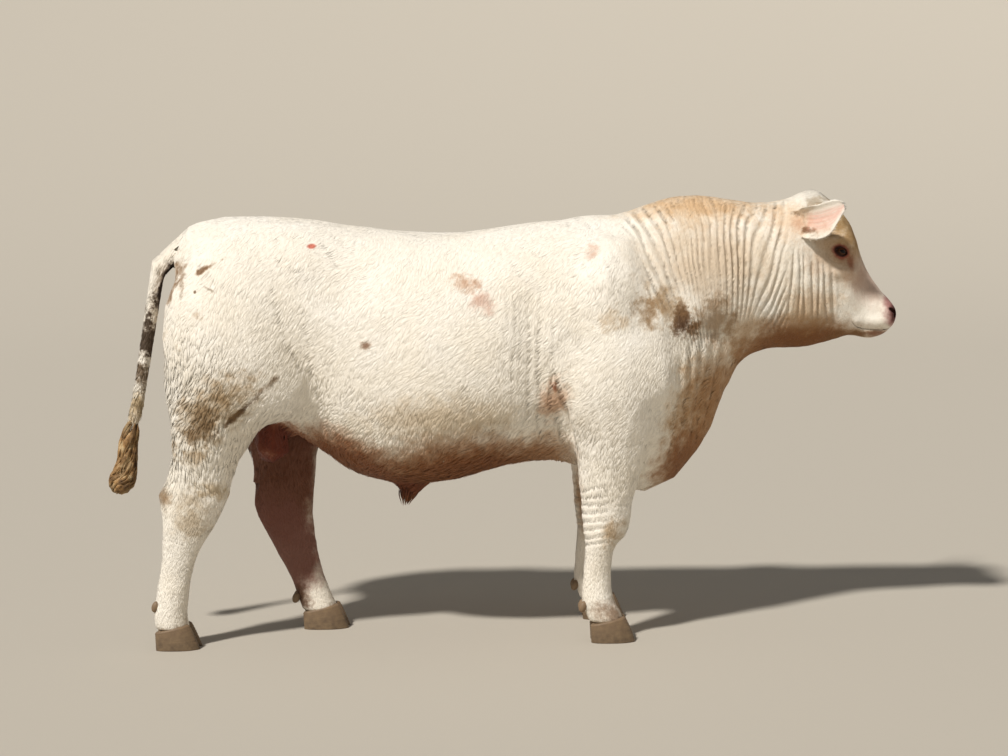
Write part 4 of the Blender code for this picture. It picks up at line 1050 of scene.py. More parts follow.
def lie_field(points, normals, blade):
    """The way the hair lies at each point, as a unit vector along the skin."""
    x, y, z = points.T
    side = np.sign(y)
    neck = (ramp(x, 0.3, 0.55) * ramp(z, 0.8, 1.0))[:, None]
    head = ramp(x, 0.93, 1.03)[:, None]
    legs = (1 - ramp(z, 0.52, 0.72))[:, None]
    belly = ((1 - ramp(z, 0.52, 0.66)) * (x < 0.12) * (x > -0.46))[:, None]
    lie = np.tile(np.array((-0.62, 0.0, -0.78)), (len(points), 1))
    lie[:, 1] += 0.5 * side * ramp(normals[:, 2], 0.3, 0.9)
    lie = toward(lie, np.array((-0.27, 0.0, -0.96)), neck)
    lie = toward(lie, np.array((-0.06, 0.0, -1.0)), legs)
    lie = toward(lie, np.array((-0.8, 0.0, -0.3)), belly)
    lie[:, 2] -= 0.5 * ramp(-x, 0.6, 0.95) * (z > 0.6)
    whorl = np.array((1.15, 0.0, 1.285))
    away = points - whorl
    away /= np.maximum(np.linalg.norm(away, axis=1), 1e-6)[:, None]
    cheek = np.tile(np.array((-0.35, 0.0, -0.94)), (len(points), 1))
    front = (ramp(x, 1.04, 1.12) * ramp(1 - np.abs(y) / 0.16, 0.0, 0.6))[:, None]
    face = toward(cheek, away, front)
    lie = toward(lie, face, head)
    tail = on_tail(points)[:, None]
    lie = toward(lie, np.array((-0.12, 0.0, -1.0)), tail)
    along = np.stack([np.full_like(x, 0.15), 0.157 * side, np.full_like(x, 0.07)], axis=1)
    lie = toward(lie, along, blade[:, None])
    lie -= normals * (lie * normals).sum(1)[:, None]
    lie /= np.maximum(np.linalg.norm(lie, axis=1), 1e-6)[:, None]
    curly = ramp(x, 1.0, 1.06) * ramp(z, 1.27, 1.33) * (1 - blade)
    swirl = 0.26 * wobble(points, 0.11, 21) + 0.22 * wobble(points, 0.035, 22)
    swirl = swirl * (1 + 1.6 * curly)
    across = np.cross(normals, lie)
    return lie * np.cos(swirl)[:, None] + across * np.sin(swirl)[:, None]


def hair_length(points, normals, ears):
    """The length of the coat's tufts in metres. 0 leaves the skin bare."""
    x, _, z = points.T
    blade, inside, share, across = ears
    length = np.full(len(points), 0.036)
    neck = ramp(x, 0.3, 0.5) * ramp(z, 0.9, 1.05)
    length += neck * (-0.018 + 0.008 * ramp(z, 1.36, 1.42))
    length += ramp(-x, 0.62, 0.85) * (1 - ramp(z, 1.0, 1.25)) * 0.006
    belly = ramp(-normals[:, 2], 0.1, 0.8) * (x < 0.5) * (z > 0.45)
    length += 0.004 * belly
    head = ramp(x, 0.92, 1.0)
    length = toward(length, 0.013, head)
    face = ramp(x, 1.08, 1.16)
    length = toward(length, 0.0085, face)
    poll = ramp(x, 0.97, 1.03) * (1 - ramp(x, 1.13, 1.2)) * ramp(z, 1.29, 1.35)
    length = toward(length, 0.016, poll)
    legs = 1 - ramp(z, 0.4, 0.6)
    length = toward(length, 0.016, legs)
    length = np.where(z < 0.12, 0.012, length)
    tail = on_tail(points)
    length = toward(length, 0.026, tail)
    length = toward(length, 0.011, blade)
    rim = np.maximum(ramp(np.abs(across - 0.5), 0.3, 0.42), ramp(share, 0.84, 0.94))
    base = ramp(across, 0.55, 0.75) * (1 - ramp(share, 0.4, 0.55))
    hollow = 0.009 * rim + 0.008 * base
    length = np.where(inside > 0.5, np.where(hollow > 0.004, hollow, 0.0), length)
    length = np.where((x > 1.276) & (z > 1.006), 0.0, length)
    length = np.where(eye_distance(points) < 0.028, 0.0, length)
    near_eye = 1 - ramp(eye_distance(points), 0.03, 0.055)
    return np.where(length > 0, length * (1 - 0.45 * near_eye), 0.0)


def tuft_density(length):
    """Tufts for each square metre, more where the hair is short."""
    count = 21.0 / np.maximum(length, 0.009) ** 2
    count = np.where(length < 0.002, 0.0, count)
    return np.clip(count, 0, 62000)


def hair_lift(points, normals, blade):
    """How far the tufts stand off the skin, in radians."""
    x, _, z = points.T
    lift = np.full(len(points), 0.012)
    thigh = ramp(-x, 0.8, 1.0) * ramp(z, 0.55, 0.68) * (1 - ramp(z, 0.9, 1.05))
    lift += 0.1 * thigh
    lift += 0.07 * ramp(-normals[:, 2], 0.2, 0.8) * (z > 0.45) * (x < 0.45)
    lift += 0.08 * ramp(x, 0.99, 1.05) * ramp(z, 1.28, 1.35) * (1 - blade)
    lift += 0.02 * ramp(z, 1.38, 1.42) * ramp(x, 0.3, 0.5) * (1 - ramp(x, 0.9, 1.0))
    lift += 0.02 * (1 - ramp(z, 0.3, 0.6))
    return toward(lift, 0.05, blade)


def unwrap(mesh, points, region):
    """A flat place for each corner of the skin: charts by region and facing, laid out in rows."""
    count = len(mesh.polygons)
    face_normal = values_of(mesh.polygons, "normal", 3)
    facing = np.abs(face_normal).argmax(1)
    sign = face_normal[np.arange(count), facing] > 0
    chart = region * 6 + facing * 2 + sign
    owner = np.repeat(np.arange(count), values_of(mesh.polygons, "loop_total", 1, np.int32)[:, 0])
    corner = values_of(mesh.loops, "vertex_index", 1, np.int32)[:, 0]
    flat = np.zeros((len(corner), 2))
    place = points[corner]
    for axis, pair in enumerate(((1, 2), (0, 2), (0, 1))):
        here = facing[owner] == axis
        flat[here] = place[here][:, pair]
    charts = []
    for name in np.unique(chart):
        here = chart[owner] == name
        low, high = flat[here].min(0), flat[here].max(0)
        charts.append((high[1] - low[1], high[0] - low[0], name, low))
    charts.sort(key=lambda c: -c[0])
    width = 1.1 * math.sqrt(sum(h * w for h, w, _, _ in charts))
    left = up = row = 0.0
    shift = np.zeros((int(chart.max()) + 1, 2))
    for high, wide, name, low in charts:
        if left + wide > width and left > 0:
            left, up, row = 0.0, up + row + CHART_GAP, 0.0
        shift[name] = np.array((left, up)) - low
        left, row = left + wide + CHART_GAP, max(row, high)
    flat += shift[chart[owner]]
    return flat / (flat.max() * 1.01) + 0.004


# How attributes of each width are stored: their type, number type and field.
KINDS = {
    "INT": ("INT", np.int32, "value"),
    "FLOAT": ("FLOAT", np.float32, "value"),
    "PAIR": ("FLOAT2", np.float32, "vector"),
    "VECTOR": ("FLOAT_VECTOR", np.float32, "vector"),
}


def give(mesh, name, kind, values, domain="POINT"):
    """Stores one attribute on the mesh."""
    stored, number, field = KINDS[kind]
    made = mesh.attributes.new(name, stored, domain)
    made.data.foreach_set(field, np.ascontiguousarray(values, number).ravel())


def take(mesh, names):
    """Removes those of the named attributes that the mesh has."""
    for name in [a.name for a in mesh.attributes if a.name in names]:
        mesh.attributes.remove(mesh.attributes[name])


def dress(skin):
    """Stores on the skin what its coat grows by: region, lie, length, density, lift and chart."""
    mesh = skin.data
    points, normals = read(mesh, "co"), read(mesh, "normal")
    region = region_of(values_of(mesh.polygons, "center", 3)).astype(np.int32)
    ears = ear_places(points, normals)
    blade, inside, share, across = ears
    length = hair_length(points, normals, ears)
    give(mesh, "region", "INT", region, "FACE")
    give(mesh, "lie", "VECTOR", lie_field(points, normals, blade))
    give(mesh, "hair", "FLOAT", length)
    give(mesh, "growth", "FLOAT", tuft_density(length))
    give(mesh, "lift", "FLOAT", hair_lift(points, normals, blade))
    give(mesh, "outward", "VECTOR", normals)
    give(mesh, "hug", "FLOAT", 1 - blade)
    give(mesh, "ear_inside", "VECTOR", np.stack([inside, across, share], axis=1))
    chart = mesh.uv_layers.new(name="OFBake")
    flat = unwrap(mesh, points, region)
    chart.data.foreach_set("uv", flat.astype(np.float32).ravel())
    give(mesh, "chart", "PAIR", flat, "CORNER")
    mesh.shade_smooth()


def tuft_shape(name, bend, split):
    """One tuft a unit long and wide: a low ridge from a sunk root, bent aside, ending in a point."""
    aside = bend * 0.2
    middle = [(-0.5, -0.15), (0.1 * split, 1.0), (0.5, -0.15), (0.0, -0.7)]
    vertices = [Vector((0, 0, -0.5)), Vector((1, bend + 0.2 * split, 0))]
    vertices += [Vector((0.42, aside + across, rise)) for across, rise in middle]
    faces = []
    for k in range(4):
        low, high = 2 + k, 2 + (k + 1) % 4
        faces += [(0, low, high), (1, high, low)]
    mesh = closed_mesh(name, vertices, faces)
    sides = (0.5, 0.5, 0.0, 0.5, 1.0, 0.5)
    give(mesh, "tuft_place", "VECTOR", [(side, v.x, v.z) for side, v in zip(sides, vertices)])
    mesh.shade_smooth()
    return bpy.data.objects.new(name, mesh)


def tuft_shapes():
    """The few tufts that the coat is made of, in a collection of their own."""
    home = bpy.data.collections.new("tuft_shapes")
    for k, (bend, split) in enumerate(TUFTS):
        home.objects.link(tuft_shape(f"tuft_{k}", bend, split))
    return home


def new_tree(name, **inputs):
    """A Geometry Nodes group with a geometry and the named inputs. Its given sockets come back."""
    tree = bpy.data.node_groups.new(name, "GeometryNodeTree")
    face = tree.interface
    face.new_socket("Geometry", in_out="OUTPUT", socket_type="NodeSocketGeometry")
    for socket, kind in {"Geometry": "Geometry", **inputs}.items():
        face.new_socket(socket, in_out="INPUT", socket_type="NodeSocket" + kind)
    return tree, add(tree, "NodeGroupInput").outputs


def named(tree, name, kind="FLOAT_VECTOR"):
    """An attribute of the mesh, for a Geometry Nodes group."""
    return add(tree, "GeometryNodeInputNamedAttribute", {"data_type": kind}, {0: name}).outputs[0]


def storing(tree, geometry, name, value, kind="FLOAT_VECTOR", domain="POINT"):
    settings = {"data_type": kind, "domain": domain}
    inputs = {"Geometry": geometry, "Name": name, "Value": value}
    return add(tree, "GeometryNodeStoreNamedAttribute", settings, inputs).outputs[0]


def patch_and_strand(tree, geometry, across, along, tone):
    """Gives every tuft its patch of the bake's chart, and the material its place along it."""
    patch = vector(tree, "SCALE", combined(tree, across, along), PATCH)
    flat = vector(tree, "ADD", named(tree, "chart"), patch)
    geometry = storing(tree, geometry, "OFBake", flat, "FLOAT2", "CORNER")
    return storing(tree, geometry, "strand", combined(tree, across, along, tone), domain="CORNER")


def modified(obj, tree, values):
    """The mesh that a Geometry Nodes group makes of the object, with inputs by their names."""
    modifier = obj.modifiers.new("grow", "NODES")
    modifier.node_group = tree
    for socket in tree.interface.items_tree:
        if socket.in_out == "INPUT" and socket.name in values:
            modifier[socket.identifier] = values[socket.name]
    mesh = evaluated_mesh(obj)
    obj.modifiers.remove(modifier)
    return mesh


def coat_tree(shapes, material):
    """Geometry Nodes that plant tufts on one region of the skin along the lie of the coat."""
    kinds = dict.fromkeys(("Density", "Length", "Width", "Thickness", "Spread"), "Float")
    tree, given = new_tree("plant_tufts", Region="Int", Seed="Int", **kinds)

    def product(*values):
        total = values[0]
        for value in values[1:]:
            total = maths(tree, "MULTIPLY", total, value)
        return total

    def nearest_on_skin(value):
        """The skin's own value at the place on it that is nearest to each vertex."""
        settings, inputs = {"data_type": "FLOAT_VECTOR"}, {"Mesh": given["Geometry"], "Value": value}
        return add(tree, "GeometryNodeSampleNearestSurface", settings, inputs).outputs[0]

    def random_number(low, high, salt):
        seed = add(tree, "FunctionNodeIntegerMath", {"operation": "ADD"}, {0: given["Seed"], 1: salt})
        inputs = {2: low, 3: high, 8: seed.outputs[0]}
        return add(tree, "FunctionNodeRandomValue", {"data_type": "FLOAT"}, inputs).outputs[1]

    settings = {"data_type": "INT", "operation": "EQUAL"}
    inputs = {2: named(tree, "region", "INT"), 3: given["Region"]}
    here = add(tree, "FunctionNodeCompare", settings, inputs)
    density = product(named(tree, "growth", "FLOAT"), given["Density"])
    inputs = {0: given["Geometry"], 1: here.outputs[0], 4: density, 6: given["Seed"]}
    settings = {"distribute_method": "RANDOM"}
    planted = add(tree, "GeometryNodeDistributePointsOnFaces", settings, inputs)
    inputs = {0: planted.outputs["Normal"], 1: named(tree, "lie")}
    settings = {"primary_axis": "Z", "secondary_axis": "X"}
    facing = add(tree, "FunctionNodeAxesToRotation", settings, inputs)
    lifted = product(named(tree, "lift", "FLOAT"), random_number(0.2, 1.9, 11))
    aside = random_number(product(given["Spread"], -1.0), given["Spread"], 13)
    turned = combined(tree, random_number(-0.25, 0.25, 12), product(lifted, -1.0), aside)
    euler = add(tree, "FunctionNodeEulerToRotation", None, {0: turned})
    inputs = {0: facing.outputs[0], 1: euler.outputs[0]}
    rotation = add(tree, "FunctionNodeRotateRotation", {"rotation_space": "LOCAL"}, inputs)
    long = product(named(tree, "hair", "FLOAT"), given["Length"], random_number(0.7, 1.35, 14))
    wide = product(long, given["Width"], random_number(0.65, 1.4, 15))
    thick = product(long, given["Thickness"], random_number(0.7, 1.3, 16))
    # each tuft's height, the reach of its tip off the skin, and its own tone
    make = combined(tree, thick, product(long, lifted), random_number(0.94, 1.04, 17))
    told = storing(tree, planted.outputs[0], "tuft_make", make)
    count = len(shapes.objects)
    inputs = {4: 0, 5: count - 1, 8: given["Seed"]}
    picked = add(tree, "FunctionNodeRandomValue", {"data_type": "INT"}, inputs)
    tufts = add(tree, "GeometryNodeCollectionInfo", None, {0: shapes, 1: True, 2: True})
    inputs = {"Points": told, "Instance": tufts.outputs[0], "Pick Instance": True}
    inputs |= {"Instance Index": picked.outputs[2], "Rotation": rotation.outputs[0]}
    inputs["Scale"] = combined(tree, long, wide, thick)
    grown = add(tree, "GeometryNodeInstanceOnPoints", None, inputs)
    real = add(tree, "GeometryNodeRealizeInstances", None, {0: grown.outputs[0]})
    # lay every tuft against the skin all along its length
    across, along, rise = separated(tree, named(tree, "tuft_place"))
    height, reach, tone = separated(tree, named(tree, "tuft_make"))
    position = add(tree, "GeometryNodeInputPosition").outputs[0]
    outward = nearest_on_skin(named(tree, "outward"))
    height = maths(tree, "ADD", product(rise, height), product(along, reach))
    laid = vector(tree, "ADD", nearest_on_skin(position), vector(tree, "SCALE", outward, height))
    inputs = {0: named(tree, "hug", "FLOAT"), 4: position, 5: laid}
    place = add(tree, "ShaderNodeMix", {"data_type": "VECTOR"}, inputs).outputs[1]
    inputs = {"Geometry": real.outputs[0], "Position": place}
    settled = add(tree, "GeometryNodeSetPosition", None, inputs)
    own = add(tree, "GeometryNodeInputNormal").outputs[0]
    leaning = vector(tree, "ADD", outward, vector(tree, "SCALE", own, OWN_NORMAL))
    inputs = {"Mesh": settled.outputs[0], "Custom Normal": vector(tree, "NORMALIZE", leaning)}
    soft = add(tree, "GeometryNodeSetMeshNormal", {"mode": "FREE", "domain": "POINT"}, inputs)
    marked = patch_and_strand(tree, soft.outputs[0], across, along, tone)
    finished = add(tree, "GeometryNodeSetMaterial", None, {0: marked, "Material": material})
    add(tree, "NodeGroupOutput", None, {0: finished.outputs[0]})
    return tree


def grown_coat(skin, tree, region, values):
    """The tufts of one region as a plain mesh object."""
    inputs = {"Region": region, "Seed": values.seed + region}
    inputs.update({"Density": values.density, "Length": values.length, "Width": values.width})
    inputs.update({"Thickness": values.thickness, "Spread": values.spread})
    mesh = modified(skin, tree, inputs)
    take(mesh, {*GUIDES, "ear_inside", "tuft_place", "tuft_make"})
    mesh.name = "coat_" + REGIONS[region]
    return made_object(mesh.name, mesh)


def linear(hex_colour):
    """Linear RGBA of an sRGB hex colour."""
    values = [int(hex_colour[k : k + 2], 16) / 255 for k in (1, 3, 5)]
    return (*[v / 12.92 if v <= 0.04045 else ((v + 0.055) / 1.055) ** 2.4 for v in values], 1.0)


def add(tree, kind, settings=None, inputs=None):
    """A node with its settings. An input's value is a number, a colour, or a socket to link."""
    node = tree.nodes.new(kind)
    for name, value in (settings or {}).items():
        setattr(node, name, value)
    for key, value in (inputs or {}).items():
        socket = node.inputs[key]
        if isinstance(value, bpy.types.NodeSocket):
            tree.links.new(value, socket)
        else:
            socket.default_value = value
    return node


def maths(tree, operation, a, b=0.5, c=0.5):
    return add(tree, "ShaderNodeMath", {"operation": operation}, {0: a, 1: b, 2: c}).outputs[0]


def vector(tree, operation, a, b=(0, 0, 0)):
    """A vector sum, or for LENGTH the number. SCALE takes its factor as b."""
    inputs = {0: a, "Scale" if operation == "SCALE" else 1: b}
    made = add(tree, "ShaderNodeVectorMath", {"operation": operation}, inputs)
    return made.outputs[1 if operation == "LENGTH" else 0]


def combined(tree, *parts):
    return add(tree, "ShaderNodeCombineXYZ", None, dict(enumerate(parts))).outputs[0]


def separated(tree, value):
    return add(tree, "ShaderNodeSeparateXYZ", None, {0: value}).outputs


def scaled(tree, place, *factors):
    """A place with its own factor on each axis, which draws a pattern out along the low ones."""
    return add(tree, "ShaderNodeMapping", {"vector_type": "POINT"}, {0: place, 3: factors}).outputs[0]


def noise(tree, place, scale, detail, roughness=0.5, distortion=0.0):
    inputs = {"Vector": place, "Scale": scale, "Detail": detail}
    inputs |= {"Roughness": roughness, "Distortion": distortion}
    return add(tree, "ShaderNodeTexNoise", None, inputs).outputs["Fac"]


def remap(tree, value, low, high, first=0.0, last=1.0, kind="LINEAR"):
    inputs = {0: value, 1: low, 2: high, 3: first, 4: last}
    return add(tree, "ShaderNodeMapRange", {"interpolation_type": kind}, inputs).outputs[0]


def mixed(tree, share, a, b, blend="MIX"):
    """Two colours mixed by a share. A hex colour is turned into a linear one."""
    a, b = [linear(c) if isinstance(c, str) else c for c in (a, b)]
    settings = {"data_type": "RGBA", "blend_type": blend}
    return add(tree, "ShaderNodeMix", settings, {0: share, 6: a, 7: b}).outputs[2]


def stored_vector(tree, name):
    """A vector that the mesh stores under a name, for a material."""
    return add(tree, "ShaderNodeAttribute", {"attribute_name": name}).outputs["Vector"]


def object_place(tree):
    return add(tree, "ShaderNodeTexCoord").outputs["Object"]


def bumped(tree, height, strength, distance, under=None):
    """The normal over a bump, which may lie on another one's normal."""
    inputs = {"Strength": strength, "Distance": distance, "Height": height}
    if under:
        inputs["Normal"] = under
    return add(tree, "ShaderNodeBump", None, inputs).outputs[0]


def new_material(name, **surface):
    """A material with one Principled shader. The tree and its shader are given back."""
    made = bpy.data.materials.new(name)
    made.use_nodes = True
    tree = made.node_tree
    tree.nodes.clear()
    out = add(tree, "ShaderNodeOutputMaterial")
    inputs = {key.replace("_", " "): value for key, value in surface.items()}
    shader = add(tree, "ShaderNodeBsdfPrincipled", None, inputs)
    tree.links.new(shader.outputs[0], out.inputs[0])
    return made, tree, shader


def cover(tree, shader, colour, normal=None):
    tree.links.new(colour, shader.inputs["Base Color"])
    if normal:
        tree.links.new(normal, shader.inputs["Normal"])


# A patch mixed into the coat, a stain in most rows and painted shade in those marked so below: a
# leaning ellipsoid, mixed in at a strength, with its edge soft over a share of its size and broken
# up by noise. side is 0 for both sides of the body, -1 for the right side only and 1 for the left only.
StainAndShade = namedtuple("StainAndShade", "centre radii colour strength soft ragged side lean", defaults=(0, 0.0))
STAINS_AND_SHADE = [StainAndShade(*row) for row in (
    # warm tints that grade over large parts of the coat, and painted shade, partly over a real tan, on
    # the throat, chest front, lower barrel and belly
    ((0.66, 0.05, 1.41), (0.36, 0.2, 0.1), "#C08A4E", 0.6, 0.9, 0.35),
    ((0.7, 0.2, 1.24), (0.34, 0.26, 0.24), "#BE9E78", 0.48, 0.9, 0.4, 0, 0.1),
    ((0.95, 0.1, 1.36), (0.12, 0.14, 0.09), "#CFA070", 0.4, 0.9, 0.4),
    # painted shade, over a real tan: under the jaw and along the throat
    ((1, 0, 0.94), (0.29, 0.4, 0.145), "#784820", 0.94, 0.6, 0.2),
    ((0.85, 0, 0.88), (0.12, 0.3, 0.16), "#8A5F3A", 0.85, 0.6, 0.3, 0, 0.45),
    # painted shade on the chest front, which faces away from the key light
    ((0.58, 0.05, 0.8), (0.17, 0.22, 0.25), "#B08A60", 0.85, 0.6, 0.3, 0, 0.15),
    ((0.8, 0.1, 1), (0.09, 0.26, 0.12), "#B08A62", 0.45, 0.9, 0.5, 0, 0.35),
    # painted shade, over a real tan: under the brisket and up the chest front
    ((0.66, 0, 0.54), (0.24, 0.4, 0.22), "#7E4E28", 0.92, 0.6, 0.25, 0, 0.5),
    ((0.7, 0, 0.78), (0.2, 0.34, 0.27), "#A0744A", 0.85, 0.8, 0.25, 0, 0.3),
    # painted shade, over a real tan: under the belly, its hind part and the groin
    ((-0.14, 0, 0.49), (0.45, 0.6, 0.3), "#7C4820", 0.96, 0.5, 0.14),
    ((-0.48, 0, 0.61), (0.27, 0.36, 0.165), "#7C4824", 0.95, 0.5, 0.16, 0, 0.5),
    ((-0.72, 0, 0.66), (0.2, 0.17, 0.2), "#8E5638", 0.85, 0.6, 0.35),
    # painted shade along the lower barrel's near side, over a faint tan band
    ((-0.2, -0.32, 0.75), (0.34, 0.2, 0.11), "#B0946C", 0.45, 0.9, 0.4, -1),
    ((-0.2, 0.33, 0.725), (0.2, 0.14, 0.05), "#B4946A", 0.45, 0.9, 0.6, 1),
    # painted shade, over a real tan, under the chest behind the elbows
    ((0.13, 0, 0.6), (0.16, 0.45, 0.13), "#9A6C46", 0.8, 0.7, 0.22, 0, -0.3),
    # dirt on one side
    ((0.585, -0.25, 1.05), (0.04, 0.12, 0.072), "#4A2F1A", 0.92, 0.6, 0.75, -1),
    ((0.62, -0.24, 1.01), (0.035, 0.12, 0.05), "#6A4A2C", 0.75, 0.8, 0.9, -1, 0.2),
    ((0.47, -0.25, 1.078), (0.066, 0.12, 0.066), "#7C5B38", 0.66, 0.9, 0.8, -1, 0.2),
    ((0.36, -0.27, 1.06), (0.06, 0.12, 0.06), "#B08C60", 0.45, 0.9, 0.8, -1, 0.2),
    ((0.7, -0.2, 1.04), (0.11, 0.16, 0.11), "#8A6744", 0.55, 0.9, 0.9, -1, 0.3),
    ((0.54, -0.25, 1.09), (0.12, 0.14, 0.08), "#9A7850", 0.6, 0.9, 0.8, -1, 0.2),
    ((-0.111, -0.32, 1.175), (0.062, 0.14, 0.05), "#AC7A58", 0.62, 0.9, 0.85, -1, 0.3),
    ((-0.06, -0.32, 1.12), (0.06, 0.14, 0.05), "#C0907A", 0.52, 0.9, 0.8, -1, 0.3),
    ((-0.43, -0.32, 0.99), (0.026, 0.12, 0.018), "#7C5A42", 0.8, 0.8, 0.8, -1),
    ((0.292, -0.27, 1.279), (0.04, 0.14, 0.034), "#B98A70", 0.6, 0.9, 0.8, -1),
    ((-0.602, -0.25, 1.306), (0.018, 0.12, 0.01), "#C4503A", 0.75, 0.6, 0.3, -1),
    ((0.169, -0.28, 0.843), (0.014, 0.12, 0.022), "#6E3B26", 0.8, 0.7, 0.7, -1),
    ((0.165, -0.28, 0.8), (0.062, 0.14, 0.11), "#B0764E", 0.55, 0.9, 0.6, -1, 0.2),
    ((-0.85, -0.26, 0.77), (0.013, 0.2, 0.15), "#432C19", 0.92, 0.8, 0.7, -1, 0.84),
    ((-0.74, -0.28, 0.87), (0.016, 0.2, 0.05), "#5F452B", 0.75, 0.9, 0.8, -1, 0.9),
    ((-0.915, -0.25, 0.8), (0.115, 0.22, 0.22), "#8A6C45", 0.72, 0.8, 0.6, -1, 0.84),
    ((-0.96, -0.25, 0.74), (0.05, 0.22, 0.13), "#6A4F30", 0.55, 0.9, 1, -1, 0.84),
    ((-0.985, -0.2, 0.64), (0.06, 0.2, 0.05), "#A08056", 0.5, 0.9, 0.9, -1),
    ((-1.075, -0.05, 1.19), (0.034, 0.07, 0.11), "#A2602C", 0.85, 0.6, 0.5, 0, 0.31),
    ((-1.05, -0.14, 1.18), (0.05, 0.14, 0.1), "#6B4726", 0.75, 0.9, 1, -1, 0.2),
    ((-1.05, 0.12, 1.17), (0.05, 0.08, 0.08), "#8A6440", 0.5, 0.9, 1, 1, 0.2),
    ((-1.07, -0.1, 1.04), (0.045, 0.14, 0.1), "#A2784A", 0.65, 0.9, 0.9, 0, 0.1),
    ((-0.935, -0.22, 1.243), (0.065, 0.14, 0.012), "#6A4625", 0.8, 0.8, 0.9, -1, -0.5),
    ((-0.972, -0.22, 1.167), (0.008, 0.14, 0.009), "#5A4028", 0.9, 0.5, 0.3, -1),
    ((-0.925, -0.22, 1.175), (0.034, 0.14, 0.008), "#5E472F", 0.8, 0.7, 0.6, -1, 0.5),
    ((-0.955, -0.22, 1.1), (0.04, 0.14, 0.024), "#8D6A45", 0.7, 0.9, 0.9, -1),
    ((-1.02, -0.18, 1.15), (0.012, 0.14, 0.04), "#6A5138", 0.75, 0.8, 0.9, -1),
    ((-1.035, -0.2, 0.995), (0.02, 0.14, 0.024), "#9A7A52", 0.65, 0.9, 0.9, -1),
    # legs
    ((-1.01, 0.21, 0.44), (0.09, 0.16, 0.11), "#9A8260", 0.5, 0.9, 0.75),
    ((-1.1, 0.21, 0.5), (0.04, 0.16, 0.05), "#7E5F3E", 0.75, 0.9, 0.6),
    ((-0.93, 0.21, 0.52), (0.07, 0.16, 0.04), "#A68A60", 0.55, 0.9, 0.9, 0, 0.3),
    # painted shade on the far hind leg's inner side, dark brown from the groin to the pastern and
    # near-black along its rear edge
    ((-0.78, 0.1, 0.56), (0.21, 0.12, 0.34), "#683D2A", 0.95, 0.45, 0.18, 1),
    ((-0.79, 0.17, 0.24), (0.022, 0.2, 0.22), "#1A100B", 0.97, 0.5, 0.6, 1, -0.46),
    ((-0.75, 0.1, 0.29), (0.15, 0.125, 0.24), "#7C5044", 0.92, 0.45, 0.2, 1, -0.35),
    ((-0.69, 0.17, 0.11), (0.06, 0.2, 0.07), "#5A3D2A", 0.85, 0.8, 0.6, 1, 0.3),
    # painted shade on the far foreleg's inner side
    ((0.3, 0.12, 0.42), (0.13, 0.075, 0.2), "#9A7450", 0.75, 0.6, 0.3, 1),
    ((0.35, 0.22, 0.37), (0.05, 0.14, 0.07), "#94744C", 0.66, 0.9, 0.8),
    ((0.35, 0.24, 0.1), (0.08, 0.16, 0.06), "#7C5D44", 0.7, 0.9, 0.7),
    ((-0.96, 0.24, 0.095), (0.1, 0.16, 0.05), "#8A7058", 0.6, 0.9, 0.7),
    # tail and switch
    ((-1.112, 0, 1.185), (0.021, 0.09, 0.12), "#22160F", 0.95, 0.5, 0.5, 0, 0.31),
    ((-1.172, 0, 1.01), (0.045, 0.09, 0.12), "#3E2E20", 0.88, 0.6, 1.3, 0, 0.14),
    ((-1.2, 0, 0.88), (0.045, 0.09, 0.08), "#5A4630", 0.75, 0.8, 1.3, 0, 0.14),
    ((-1.225, 0, 0.78), (0.06, 0.09, 0.08), "#B09468", 0.7, 0.8, 0.8, 0, 0.14),
    # sheath and scrotum
    # painted shade over the scrotum's reddish-brown skin, which hangs in the shadow of the thighs
    ((-0.774, 0, 0.65), (0.09, 0.095, 0.11), "#6A3020", 0.96, 0.4, 0.15),
    ((-0.318, 0, 0.49), (0.1, 0.12, 0.06), "#6E3A22", 0.85, 0.7, 0.4),
    # head
    ((1.11, 0.08, 1.255), (0.175, 0.2, 0.15), "#B08C68", 0.68, 0.8, 0.35, 0, 0.5),
    ((1.21, 0.05, 1.16), (0.15, 0.16, 0.1), "#BC9886", 0.6, 0.8, 0.25, 0, 0.7),
    ((1.02, 0.12, 1.07), (0.15, 0.16, 0.12), "#BE9A72", 0.55, 0.9, 0.5),
    ((1.13, 0, 1.335), (0.13, 0.24, 0.085), "#A07A44", 0.85, 0.7, 0.4, 0, 0.75),
    ((1.04, 0.06, 1.415), (0.06, 0.12, 0.03), "#9C8464", 0.45, 0.9, 1.1),
    ((1.12, 0.1, 1.25), (0.056, 0.09, 0.044), "#8A6448", 0.7, 0.9, 0.35, 0, 0.3),
    ((1.114, 0.11, 1.258), (0.038, 0.06, 0.028), "#8C4A3C", 0.9, 0.4, 0.22, 0, 0.42),
    # painted shade in the eye's socket: a near-black ring over the lids round the opening
    ((1.113, 0.11, 1.259), (0.028, 0.06, 0.02), "#2A120C", 0.95, 0.35, 0.15, 0, 0.42),
    ((1.148, 0.09, 1.224), (0.018, 0.07, 0.038), "#8A5238", 0.72, 0.8, 0.35, 0, -0.35),
    ((1.003, 0.15, 1.331), (0.03, 0.07, 0.016), "#5C3F26", 0.85, 0.8, 0.8, 0, 0.2),
    ((0.975, 0.12, 1.35), (0.04, 0.07, 0.04), "#C08A68", 0.45, 0.9, 0.6),
    # painted shade, over a real tan, under the chin and jaw
    ((1.15, 0.05, 0.975), (0.12, 0.14, 0.034), "#7E5A36", 0.85, 0.8, 0.45, 0, -0.1),
    # the muzzle's bare pinkish skin, darkened as painted shade
    ((1.314, 0, 1.06), (0.082, 0.13, 0.074), "#9E6E68", 0.94, 0.35, 0.18, 0, 0.2),
    # painted shade in and round the nostril's pit
    ((1.298, 0.056, 1.05), (0.038, 0.034, 0.036), "#4A2420", 0.92, 0.5, 0.15, 0, 0.2),
    ((1.255, 0.03, 0.984), (0.07, 0.09, 0.018), "#8A5F48", 0.8, 0.7, 0.35),
)]

EYE_GAMMA = 2.2
COAT_LIGHT = "#F7F3EB"
COAT_WARM = "#EDE3D0"


